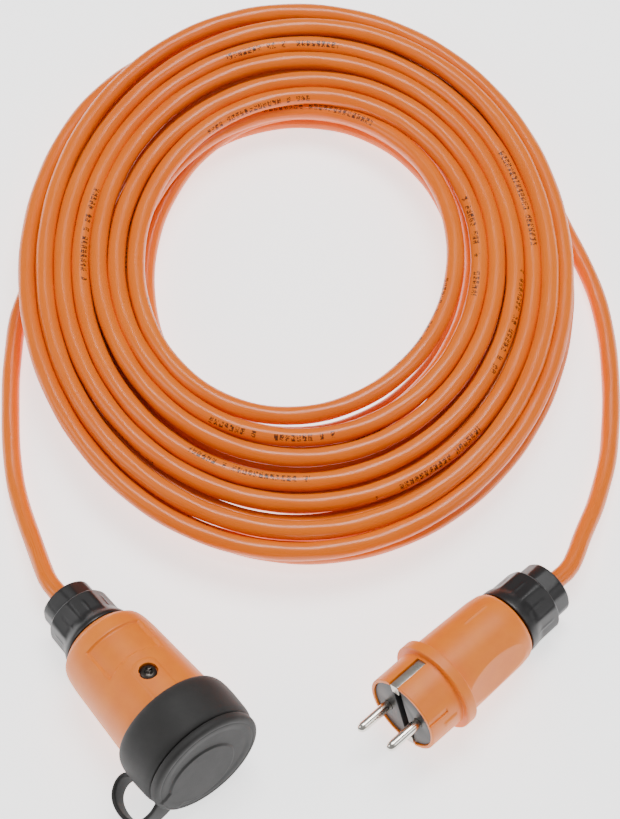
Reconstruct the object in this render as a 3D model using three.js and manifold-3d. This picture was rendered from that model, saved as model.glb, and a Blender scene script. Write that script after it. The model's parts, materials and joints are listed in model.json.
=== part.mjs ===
// Outdoor extension cord: a coiled three-core cable with a rewirable earthed plug at one end
// and a rewirable earthed coupling socket with a tethered rubber lid at the other.
// Millimetres, +Z up. The two fittings and the cord all lie on the surface z = 0.
//
// Each fitting is designed along its own axis: x = 0 is the rear face of its gland nut, +x runs
// to the mating face, z points up and y to its left. A turned group then lays it on the surface.

import * as THREE from 'three'
import Module from 'manifold-3d'

const wasm = await Module()
wasm.setup()

// ---------------------------------------------------------------- driving dimensions

const CORD_D = 9.0
const CORE_D = 2.6
const GAP = 0.3

// contacts, by the common household standard for a 16 A two-pin plug with side earth
const PIN_D = 4.8
const PIN_SPACING = 19.0
const PIN_REACH = 19.0
const SOCKET_D = 40.0
const SOCKET_DEPTH = 17.5

// coupling socket
const COUPLING = {
  nutLength: 26.7,
  nutRearR: 12.8,
  nutBodyR: 15.6,
  nutFlareR: 17.3,
  shoulderX: 33.7,
  shoulderR: 22.2,
  barrelR: 25.0,
  barrelEnd: 102.9,
  collarStart: 80.3,
  collarEnd: 104.4,
  collarR: 29.3,
  lidThick: 4.3,
  lidR: 28.0,
}

// plug
const PLUG = {
  nutLength: 28.5,
  nutRearR: 13.4,
  nutBodyR: 16.2,
  nutFlareR: 16.9,
  rearR: 18.0,
  bodyX: 37.0,
  bodyR: 18.8,
  frontR: 19.8,
  flangeStart: 71.6,
  flangeEnd: 77.0,
  flangeR: 22.6,
  noseR: 19.3,
  faceX: 96.5,
}

// where each fitting lies: rear of its nut on the surface plan, heading and roll in degrees
const COUPLING_PLACE = { x: -110.7, y: 46.0, heading: -51.5, roll: -6 }
const PLUG_PLACE = { x: 111.4, y: 54.4, heading: -136.0, roll: 25 }

// coil: an upright ring of stacked turns, slightly longer than wide
const COIL = { x: -4.1, y: 223.2, halfX: 135.0, halfY: 155.0, width: 62.5, height: 42.0 }

// strap of the lid: angle below the horizontal at which it leaves, and its loop
const STRAP_ANGLE = 30
const STRAP_WIDTH = 9.0
const STRAP_THICK = 2.2

const ROUND = 40
const SMALL_ROUND = 20
const TINY_ROUND = 12

// ---------------------------------------------------------------- finishes

const finish = (name, hex, roughness, metalness) =>
  new THREE.MeshStandardMaterial({ name, color: hex, roughness, metalness })

const ORANGE_JACKET = finish('orange_cable_jacket', 0xe87a20, 0.35, 0)
const ORANGE_SHELL = finish('orange_moulded_shell', 0xe9781a, 0.45, 0)
const BLACK_NUT = finish('black_moulded_nut', 0x383637, 0.5, 0)
const BLACK_RUBBER = finish('black_rubber', 0x454240, 0.8, 0)
const BLACK_INSERT = finish('black_contact_carrier', 0x2c2c2d, 0.55, 0)
const GREY_SEAL = finish('grey_seal_rubber', 0x6a6a68, 0.85, 0)
const NATURAL_RING = finish('natural_clamping_ring', 0xd8d4c8, 0.5, 0)
const NICKEL = finish('nickel_plated_brass', 0xc9c6c0, 0.25, 1)
const SPRING_STEEL = finish('nickel_plated_spring', 0xb8b6b0, 0.3, 1)
const ZINC_SCREW = finish('zinc_plated_screw', 0xaeb2b4, 0.35, 1)
const DARK_SCREW = finish('blackened_screw', 0x2b2725, 0.4, 0.9)
const CORE_BROWN = finish('brown_core_insulation', 0x5c3a22, 0.45, 0)
const CORE_BLUE = finish('blue_core_insulation', 0x2457a8, 0.45, 0)
const CORE_EARTH = finish('green_yellow_core_insulation', 0x8fae2a, 0.45, 0)

// ---------------------------------------------------------------- solids

// a closed solid for the boolean kernel from a three.js geometry
function solid(geometry) {
  const bare = geometry.clone()
  bare.deleteAttribute('normal')
  bare.deleteAttribute('uv')
  const merged = mergeVertices(bare)
  const vertProperties = Float32Array.from(merged.attributes.position.array)
  const triVerts = Uint32Array.from(merged.index.array)
  return new wasm.Manifold(new wasm.Mesh({ numProp: 3, vertProperties, triVerts }))
}

// one mesh from a solid
function meshOf(name, body, material) {
  const data = body.simplify(0.02).getMesh()
  const geometry = new THREE.BufferGeometry()
  geometry.setAttribute('position', new THREE.BufferAttribute(data.vertProperties, 3))
  geometry.setIndex(new THREE.BufferAttribute(data.triVerts, 1))
  geometry.computeVertexNormals()
  const mesh = new THREE.Mesh(geometry, material)
  mesh.name = name
  return mesh
}

// turned about the fitting's own x axis; the profile is a closed list of [x, radius]
function turned(profile, segments = ROUND) {
  const points = profile.map(([x, radius]) => new THREE.Vector2(radius, x))
  const first = points[0]
  const last = points[points.length - 1]
  if (first.x > 0 || last.x > 0) points.push(first.clone())
  const geometry = new THREE.LatheGeometry(points, segments)
  geometry.rotateZ(-Math.PI / 2)
  return solid(geometry)
}

// a plain round bar along x
function bar(x0, x1, radius, segments = SMALL_ROUND) {
  return turned([[x0, 0], [x0, radius], [x1, radius], [x1, 0]], segments)
}

function block(x0, x1, y0, y1, z0, z1) {
  const geometry = new THREE.BoxGeometry(x1 - x0, y1 - y0, z1 - z0)
  geometry.translate((x0 + x1) / 2, (y0 + y1) / 2, (z0 + z1) / 2)
  return solid(geometry)
}

// a regular prism along x with flats at the given distance from the axis
function prism(x0, x1, flatR, sides, turn = 0) {
  const cornerR = flatR / Math.cos(Math.PI / sides)
  const shape = new THREE.Shape()
  for (let i = 0; i < sides; i += 1) {
    const angle = turn + (2 * Math.PI * i) / sides
    const y = cornerR * Math.cos(angle)
    const z = cornerR * Math.sin(angle)
    if (i === 0) shape.moveTo(y, z)
    else shape.lineTo(y, z)
  }
  shape.closePath()
  return alongX(shape, x0, x1)
}

// a shape drawn in the fitting's y-z plane, extruded from x0 to x1
function alongX(shape, x0, x1, curveSegments = 8) {
  const geometry = new THREE.ExtrudeGeometry(shape, { depth: x1 - x0, bevelEnabled: false, curveSegments })
  const turn = new THREE.Matrix4().set(0, 0, 1, x0, 1, 0, 0, 0, 0, 1, 0, 0, 0, 0, 0, 1)
  geometry.applyMatrix4(turn)
  return solid(geometry)
}

// a flat shape drawn in the fitting's x-z plane, extruded across y, centred on y = 0
function acrossY(shape, width, curveSegments = 8) {
  const geometry = new THREE.ExtrudeGeometry(shape, { depth: width, bevelEnabled: false, curveSegments })
  const turn = new THREE.Matrix4().set(1, 0, 0, 0, 0, 0, -1, width / 2, 0, 1, 0, 0, 0, 0, 0, 1)
  geometry.applyMatrix4(turn)
  return solid(geometry)
}

// a round bar standing along z at (x, y)
function post(x, y, z0, z1, radius, segments = TINY_ROUND) {
  const geometry = new THREE.CylinderGeometry(radius, radius, z1 - z0, segments)
  geometry.rotateX(Math.PI / 2)
  geometry.translate(x, y, (z0 + z1) / 2)
  return solid(geometry)
}

// a round tube of constant size swept through points
function sweep(points, diameter, steps, sides) {
  const curve = new THREE.CatmullRomCurve3(points, false, 'centripetal')
  const ring = new THREE.Shape()
  for (let i = 0; i < sides; i += 1) {
    const angle = (2 * Math.PI * i) / sides
    const u = (diameter / 2) * Math.cos(angle)
    const v = (diameter / 2) * Math.sin(angle)
    if (i === 0) ring.moveTo(u, v)
    else ring.lineTo(u, v)
  }
  ring.closePath()
  return new THREE.ExtrudeGeometry(ring, { steps, extrudePath: curve, bevelEnabled: false })
}

const cut = (body, ...tools) => tools.reduce((left, tool) => left.subtract(tool), body)
const join = (body, ...others) => others.reduce((sum, other) => sum.add(other), body)

// vertices closer than a rounding error become one, so that the kernel sees a closed skin
function mergeVertices(geometry) {
  const source = geometry.index ? geometry.toNonIndexed() : geometry
  const position = source.attributes.position
  const seen = new Map()
  const vertices = []
  const index = []
  for (let i = 0; i < position.count; i += 1) {
    const point = [position.getX(i), position.getY(i), position.getZ(i)]
    const key = point.map((value) => Math.round(value * 1e4)).join(',')
    if (!seen.has(key)) {
      seen.set(key, vertices.length / 3)
      vertices.push(...point)
    }
    index.push(seen.get(key))
  }
  const kept = []
  for (let i = 0; i < index.length; i += 3) {
    const [a, b, c] = [index[i], index[i + 1], index[i + 2]]
    if (a !== b && b !== c && a !== c) kept.push(a, b, c)
  }
  const merged = new THREE.BufferGeometry()
  merged.setAttribute('position', new THREE.Float32BufferAttribute(vertices, 3))
  merged.setIndex(kept)
  return merged
}

// ---------------------------------------------------------------- cable gland

// the clamping parts at the rear of a fitting: union nut, clamping ring, seal
const GLAND = {
  wall: 4.0,
  mouthR: 5.4,
  neckR: 11.4,
  neckStart: 9.5,
  seatR: 9.2,
  ringStart: 4.4,
  ringEnd: 9.2,
  sealEnd: 20.0,
}

// two steps with flats for a spanner, flaring to the shell; hollow over the shell's neck
function glandNut(name, size) {
  const tier = size.nutLength * 0.33
  const flare = size.nutLength * 0.82
  const rearTier = turned([
    [0, 0],
    [0, size.nutRearR - 1.4],
    [0.5, size.nutRearR - 0.5],
    [1.4, size.nutRearR],
    [tier + 0.6, size.nutRearR],
    [tier + 0.6, 0],
  ]).intersect(prism(-1, tier + 2, size.nutRearR - 0.7, 6, Math.PI / 6))
  const bodyOutline = turned([
    [tier, 0],
    [tier, size.nutBodyR - 1.1],
    [tier + 1.2, size.nutBodyR],
    [flare, size.nutBodyR + 0.3],
    [size.nutLength - 1.2, size.nutFlareR],
    [size.nutLength, size.nutFlareR],
    [size.nutLength, 0],
  ])
  const bodyFlats = prism(tier - 1, flare + 1, size.nutBodyR - 0.8, 8, 0.31)
  const flareZone = bar(flare, size.nutLength + 1, size.nutFlareR + 1, ROUND)
  const faceted = join(rearTier, bodyOutline.intersect(join(bodyFlats, flareZone)))
  const hollow = turned([
    [GLAND.wall, 0],
    [GLAND.wall, GLAND.neckR + GAP],
    [size.nutLength + 1, GLAND.neckR + GAP],
    [size.nutLength + 1, 0],
  ])
  const throat = bar(-1, GLAND.wall + 1, GLAND.mouthR)
  return meshOf(name, cut(faceted, hollow, throat), BLACK_NUT)
}

// slit clamping ring pressed inward by the nut
function clampingRing(name) {
  const ring = turned([
    [GLAND.ringStart, GLAND.mouthR],
    [GLAND.ringStart, GLAND.neckR - 0.6],
    [GLAND.ringStart + 2.2, GLAND.neckR - 0.6],
    [GLAND.ringEnd, GLAND.seatR - 0.4],
    [GLAND.ringEnd, GLAND.mouthR],
  ], SMALL_ROUND)
  return meshOf(name, ring, NATURAL_RING)
}

// grommet that seals on the cord inside the shell's neck
function glandSeal(name) {
  const sealR = GLAND.seatR - GAP
  const bore = CORD_D / 2 + 0.15
  const seal = turned([
    [GLAND.ringEnd + GAP, bore],
    [GLAND.ringEnd + GAP, sealR - 1.2],
    [GLAND.ringEnd + 2, sealR],
    [GLAND.sealEnd, sealR],
    [GLAND.sealEnd, bore],
  ], SMALL_ROUND)
  return meshOf(name, seal, GREY_SEAL)
}

// the neck that every shell shares: outer step for the nut, seat for the seal, cord passage
function neck(shellStart) {
  return turned([
    [GLAND.neckStart, GLAND.seatR],
    [GLAND.neckStart, GLAND.neckR],
    [shellStart + 2, GLAND.neckR],
    [shellStart + 2, GLAND.seatR - 3],
    [GLAND.sealEnd + GAP, GLAND.seatR - 3],
    [GLAND.sealEnd + GAP, GLAND.seatR],
  ])
}

// ---------------------------------------------------------------- small hardware

// pan-head screw with a cross recess, axis along z, head up at (x, y)
function crossScrew(name, x, y, headTop, headR, headDeep, shankR, tip, material) {
  const geometry = new THREE.LatheGeometry([
    new THREE.Vector2(0, tip),
    new THREE.Vector2(shankR, tip),
    new THREE.Vector2(shankR, headTop - headDeep),
    new THREE.Vector2(headR, headTop - headDeep),
    new THREE.Vector2(headR, headTop - headDeep * 0.4),
    new THREE.Vector2(headR * 0.6, headTop),
    new THREE.Vector2(0, headTop),
  ], TINY_ROUND)
  geometry.rotateX(Math.PI / 2)
  geometry.translate(x, y, 0)
  const slotHalf = headR * 0.13
  const slotLong = headR * 0.55
  const floor = headTop - headDeep * 0.6
  const slots = join(
    block(x - slotLong, x + slotLong, y - slotHalf, y + slotHalf, floor, headTop + 1),
    block(x - slotHalf, x + slotHalf, y - slotLong, y + slotLong, floor, headTop + 1),
  )
  return meshOf(name, solid(geometry).subtract(slots), material)
}

// insulated core from the cut end of the jacket to its terminal
function core(name, from, to, material, bulge) {
  const points = [
    new THREE.Vector3(from[0], from[1], from[2]),
    new THREE.Vector3(from[0] + 4, from[1], from[2]),
    new THREE.Vector3((from[0] + to[0]) / 2, (from[1] + to[1]) / 2 + bulge, (from[2] + to[2]) / 2),
    new THREE.Vector3(to[0] - 4, to[1], to[2]),
    new THREE.Vector3(to[0], to[1], to[2]),
  ]
  const mesh = new THREE.Mesh(sweep(points, CORE_D, 12, 8), material)
  mesh.name = name
  return mesh
}

// flat earth spring bent to a U: bar across the back, an arm along each side, ends hooked
function earthStrap(name, size) {
  const thick = 0.8
  const shape = new THREE.Shape()
  shape.moveTo(size.back, -size.armR)
  shape.lineTo(size.front, -size.armR)
  shape.lineTo(size.front, -size.armR + size.hook)
  shape.lineTo(size.front - thick, -size.armR + size.hook)
  shape.lineTo(size.front - size.hookRun, -size.armR + thick)
  shape.lineTo(size.back + thick, -size.armR + thick)
  shape.lineTo(size.back + thick, size.armR - thick)
  shape.lineTo(size.front - size.hookRun, size.armR - thick)
  shape.lineTo(size.front - thick, size.armR - size.hook)
  shape.lineTo(size.front, size.armR - size.hook)
  shape.lineTo(size.front, size.armR)
  shape.lineTo(size.back, size.armR)
  shape.closePath()
  return meshOf(name, acrossY(shape, size.width), SPRING_STEEL)
}

// ---------------------------------------------------------------- coupling socket

function buildCoupling() {
  const group = new THREE.Group()
  group.name = 'coupling'
  const c = COUPLING
  const shellStart = c.nutLength + GAP
  const recessFloor = c.barrelEnd - SOCKET_DEPTH
  const insertR = SOCKET_D / 2 + 2.0
  const insertBack = c.barrelEnd - 41.0
  const screwX = 67.0
  const screwPadHalf = 6.0

  // shell: neck, sloping shoulder, slightly opening body and the barrel under the collar
  const outline = turned([
    [shellStart, 0],
    [shellStart, 17.0],
    [shellStart + 1.2, 18.6],
    [c.shoulderX - 3, c.shoulderR - 0.9],
    [c.shoulderX, c.shoulderR],
    [c.shoulderX + 6, c.shoulderR + 0.7],
    [c.collarStart, c.barrelR],
    [c.barrelEnd, c.barrelR],
    [c.barrelEnd, 0],
  ], ROUND)
  const cavity = turned([
    [c.shoulderX - 6, 0],
    [c.shoulderX - 6, 12.0],
    [c.shoulderX + 3, 18.5],
    [insertBack - 4, 19.8],
    [insertBack - 4, insertR + GAP],
    [c.barrelEnd + 1, insertR + GAP],
    [c.barrelEnd + 1, 0],
  ], ROUND)
  const passage = bar(GLAND.sealEnd, c.shoulderX, GLAND.seatR - 3)
  // finger panels pressed 1.4 mm into the top and the bottom
  const panelStart = c.shoulderX + 5.0
  const panelEnd = 57.5
  const panelHalf = 14.2
  const skin = turned([
    [c.shoulderX, c.shoulderR - 1.3],
    [c.shoulderX, 30],
    [60, 30],
    [60, c.barrelR - 2.4],
  ], ROUND)
  const panelShape = new THREE.Shape()
  panelShape.moveTo(panelStart, -panelHalf)
  panelShape.lineTo(panelEnd, -panelHalf)
  panelShape.quadraticCurveTo(panelEnd - 4.5, 0, panelEnd, panelHalf)
  panelShape.lineTo(panelStart, panelHalf)
  panelShape.closePath()
  const panelGeometry = new THREE.ExtrudeGeometry(panelShape, { depth: 80, bevelEnabled: false, curveSegments: 8 })
  panelGeometry.translate(0, 0, -40)
  const panels = skin.intersect(solid(panelGeometry))
  // raised pad from behind the screw to the collar
  const padShape = new THREE.Shape()
  padShape.moveTo(c.collarStart + 2, -screwPadHalf)
  padShape.lineTo(c.collarStart + 2, screwPadHalf)
  padShape.lineTo(screwX - 3.0, screwPadHalf)
  padShape.quadraticCurveTo(screwX - 6.5, screwPadHalf, screwX - 6.8, 0)
  padShape.quadraticCurveTo(screwX - 6.5, -screwPadHalf, screwX - 3.0, -screwPadHalf)
  padShape.closePath()
  const padGeometry = new THREE.ExtrudeGeometry(padShape, { depth: 6.5, bevelEnabled: false, curveSegments: 6 })
  padGeometry.translate(0, 0, c.barrelR - 6.4)
  const padSkin = turned([
    [55, 0],
    [55, 24.1],
    [c.collarStart, c.barrelR + 0.35],
    [c.collarStart - 0.1, 0],
  ], ROUND)
  const pad = solid(padGeometry).intersect(padSkin)
  const shell = cut(
    join(cut(outline, panels), pad, neck(shellStart)),
    cavity,
    passage,
    post(screwX, 0, c.barrelR - 2.9, c.barrelR + 5, 4.4, SMALL_ROUND),
    post(screwX, 0, 10, c.barrelR + 5, 2.0),
  )
  group.add(meshOf('coupling_housing', shell, ORANGE_SHELL))

  // the contacts are drawn with the pins side by side, then turned so that one pin is above the other
  const contacts = new THREE.Group()
  contacts.name = 'coupling_contacts'
  contacts.rotation.x = Math.PI / 2
  group.add(contacts)

  // recess wall: the ring that takes the plug's nose, on the rim of the contact carrier
  const wall = turned([
    [recessFloor + 0.05, SOCKET_D / 2],
    [recessFloor + 0.05, insertR],
    [c.barrelEnd, insertR],
    [c.barrelEnd, SOCKET_D / 2 + 0.3],
    [c.barrelEnd - 0.6, SOCKET_D / 2],
  ], ROUND)
  // contact carrier: floor of the recess, with the terminal block behind it
  const floorDisc = turned([
    [insertBack + 12, 0],
    [insertBack + 12, insertR],
    [recessFloor, insertR],
    [recessFloor, 0],
  ], ROUND)
  const terminalBlock = block(insertBack, insertBack + 13, -15.0, 15.0, -13.0, 13.0)
  const contactCut = [-1, 1].flatMap((side) => [
    bar(insertBack - 1, recessFloor - 2.5, 4.1, TINY_ROUND).translate([0, (side * PIN_SPACING) / 2, 0]),
    bar(insertBack, recessFloor + 1, PIN_D / 2 + 0.5, TINY_ROUND).translate([0, (side * PIN_SPACING) / 2, 0]),
    post(insertBack + 3.5, (side * PIN_SPACING) / 2, 0, 20, 2.9),
  ])
  const armSlots = [-1, 1].map((side) =>
    block(insertBack - 1, c.barrelEnd - 3, -2.6, 2.6, side > 0 ? 16.8 : -insertR - 1, side > 0 ? insertR + 1 : -16.8))
  const screwBoss = block(screwX - 4.5, screwX + 6, 14.5, 20.4, -4.0, 4.0)
  const screwHole = post(screwX, 0, 14.8, 30, 1.75).rotate([-90, 0, 0])
  const carrier = cut(join(floorDisc, terminalBlock, screwBoss), ...contactCut, ...armSlots, screwHole)
  contacts.add(meshOf('coupling_contact_carrier', carrier, BLACK_INSERT))
  contacts.add(meshOf('coupling_recess_wall', cut(wall, ...armSlots), BLACK_INSERT))

  for (const [side, label] of [[1, 'upper'], [-1, 'lower']]) {
    const y = (side * PIN_SPACING) / 2
    // split tube that grips the pin, closed at the back where the core is clamped
    const sleeve = cut(
      bar(insertBack + 0.5, recessFloor - 2.8, 3.8, TINY_ROUND),
      bar(insertBack + 8, recessFloor, PIN_D / 2, TINY_ROUND),
      bar(insertBack, insertBack + 6.5, 1.6, TINY_ROUND),
      post(insertBack + 3.5, 0, 0, 6, 1.55, 12),
    )
    contacts.add(meshOf(`coupling_contact_${label}`, sleeve.translate([0, y, 0]), NICKEL))
    contacts.add(crossScrew(`coupling_terminal_screw_${label}`, insertBack + 3.5, y, 8.6, 2.6, 2.0, 1.3, 1.75, ZINC_SCREW))
  }

  contacts.add(earthStrap('coupling_earth_strap', {
    back: insertBack - 2.5, front: c.barrelEnd - 3.4, armR: 20.9, hook: 3.2, hookRun: 9.0, width: 4.6,
  }))
  // earth terminal screw, head towards the cord
  const earthScrew = turned([
    [insertBack - 5.2, 0],
    [insertBack - 5.2, 2.6],
    [insertBack - 2.8, 2.6],
    [insertBack - 2.8, 0],
  ], TINY_ROUND)
  const earthSlot = block(insertBack - 6, insertBack - 4.3, -0.4, 0.4, -3, 3)
  contacts.add(meshOf('coupling_earth_screw', earthScrew.subtract(earthSlot), ZINC_SCREW))
  group.add(crossScrew('coupling_housing_screw', screwX, 0, c.barrelR - 0.6, 3.8, 2.0, 1.5, 15.2, DARK_SCREW))

  group.add(glandSeal('coupling_gland_seal'))
  group.add(clampingRing('coupling_clamping_ring'))
  group.add(glandNut('coupling_gland_nut', c))

  const coreStart = c.shoulderX - 4
  contacts.add(core('coupling_core_brown', [coreStart, 1.6, 1.0], [insertBack + 0.2, PIN_SPACING / 2, 0], CORE_BROWN, 2.0))
  contacts.add(core('coupling_core_blue', [coreStart, -1.6, 1.0], [insertBack + 0.2, -PIN_SPACING / 2, 0], CORE_BLUE, -2.0))
  contacts.add(core('coupling_core_earth', [coreStart, 0, -1.9], [insertBack - 5.6, 0, -4.6], CORE_EARTH, 0))

  // rubber collar over the barrel, its lip closing the front of the shell
  const collar = turned([
    [c.collarStart, c.barrelR + GAP],
    [c.collarStart, c.barrelR + 1.4],
    [c.collarStart + 1.0, c.barrelR + 2.9],
    [c.collarStart + 4.0, c.collarR - 0.3],
    [c.collarStart + 9.0, c.collarR],
    [c.collarEnd - 2.0, c.collarR - 0.4],
    [c.collarEnd - 0.6, c.collarR - 0.9],
    [c.collarEnd, c.collarR - 1.8],
    [c.collarEnd, SOCKET_D / 2 + 1.4],
    [c.barrelEnd + GAP, SOCKET_D / 2 + 1.4],
    [c.barrelEnd + GAP, c.barrelR + GAP],
  ])
  group.add(meshOf('coupling_collar', collar, BLACK_RUBBER))
  addLid(group)
  return group
}

// half of the tether strap: a ribbon that follows the given side of the loop
function strapRibbon(inner, outer) {
  const shape = new THREE.Shape()
  shape.moveTo(inner[0][0], inner[0][1])
  for (const [x, r] of inner.slice(1)) shape.lineTo(x, r)
  for (const [x, r] of outer.slice().reverse()) shape.lineTo(x, r)
  shape.closePath()
  const geometry = new THREE.ExtrudeGeometry(shape, { depth: STRAP_WIDTH, bevelEnabled: false })
  // drawn as (x, distance from the axis): the distance runs to the right side of the fitting
  const angle = (STRAP_ANGLE * Math.PI) / 180
  const outwardY = -Math.cos(angle)
  const outwardZ = -Math.sin(angle)
  const acrossDirY = Math.sin(angle)
  const acrossDirZ = -Math.cos(angle)
  const half = STRAP_WIDTH / 2
  const place = new THREE.Matrix4().set(
    1, 0, 0, 0,
    0, outwardY, acrossDirY, -half * acrossDirY,
    0, outwardZ, acrossDirZ, -half * acrossDirZ,
    0, 0, 0, 1,
  )
  geometry.applyMatrix4(place)
  return solid(geometry)
}

// points of the strap's middle line with its two faces, from the collar round to the lid
function strapFaces(middle) {
  const inner = []
  const outer = []
  middle.forEach(([x, r], i) => {
    const before = middle[Math.max(0, i - 1)]
    const after = middle[Math.min(middle.length - 1, i + 1)]
    const run = [after[0] - before[0], after[1] - before[1]]
    const long = Math.hypot(run[0], run[1])
    const normal = [-run[1] / long, run[0] / long]
    inner.push([x - (normal[0] * STRAP_THICK) / 2, r - (normal[1] * STRAP_THICK) / 2])
    outer.push([x + (normal[0] * STRAP_THICK) / 2, r + (normal[1] * STRAP_THICK) / 2])
  })
  return [inner, outer]
}

const STRAP_TOP = { x: COUPLING.collarEnd - 4.0, r: 44.5 }

function addLid(group) {
  const c = COUPLING
  const back = c.collarEnd + GAP
  const front = back + c.lidThick
  // lid: flat cap with a rounded rim, a plug ring behind and a raised round finger pad
  const cap = turned([
    [back, 0],
    [back, c.lidR - 0.6],
    [back + 0.6, c.lidR],
    [front - 1.8, c.lidR],
    [front - 0.6, c.lidR - 0.7],
    [front, c.lidR - 2.2],
    [front, 0],
  ])
  const plugRing = turned([
    [back - 2.2, 16.8],
    [back - 2.2, 19.0],
    [back + 1, 19.0],
    [back + 1, 16.8],
  ])
  const fingerPad = bar(front - 1, front + 0.8, 17.5, ROUND).translate([0, -3.0, -4.0])
  group.add(meshOf('socket_lid', join(cap, plugRing, fingerPad), BLACK_RUBBER))

  const collarSide = [
    [STRAP_TOP.x - 9.5, c.collarR + GAP],
    [STRAP_TOP.x - 9.9, 33.0],
    [STRAP_TOP.x - 9.3, 37.5],
    [STRAP_TOP.x - 6.9, 41.5],
    [STRAP_TOP.x - 4.1, 43.8],
    [STRAP_TOP.x - 1.9, STRAP_TOP.r],
    [STRAP_TOP.x - GAP / 2, STRAP_TOP.r],
  ]
  const lidSide = [
    [STRAP_TOP.x + GAP / 2, STRAP_TOP.r],
    [STRAP_TOP.x + 1.7, STRAP_TOP.r],
    [STRAP_TOP.x + 3.7, 43.6],
    [STRAP_TOP.x + 5.9, 41.2],
    [STRAP_TOP.x + 7.2, 37.0],
    [STRAP_TOP.x + 7.1, 33.0],
    [STRAP_TOP.x + 6.7, c.lidR + GAP],
  ]
  const [collarInner, collarOuter] = strapFaces(collarSide)
  const [lidInner, lidOuter] = strapFaces(lidSide)
  group.add(meshOf('strap_collar_half', strapRibbon(collarInner, collarOuter), BLACK_RUBBER))
  group.add(meshOf('strap_lid_half', strapRibbon(lidInner, lidOuter), BLACK_RUBBER))
}

// ---------------------------------------------------------------- plug

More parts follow.
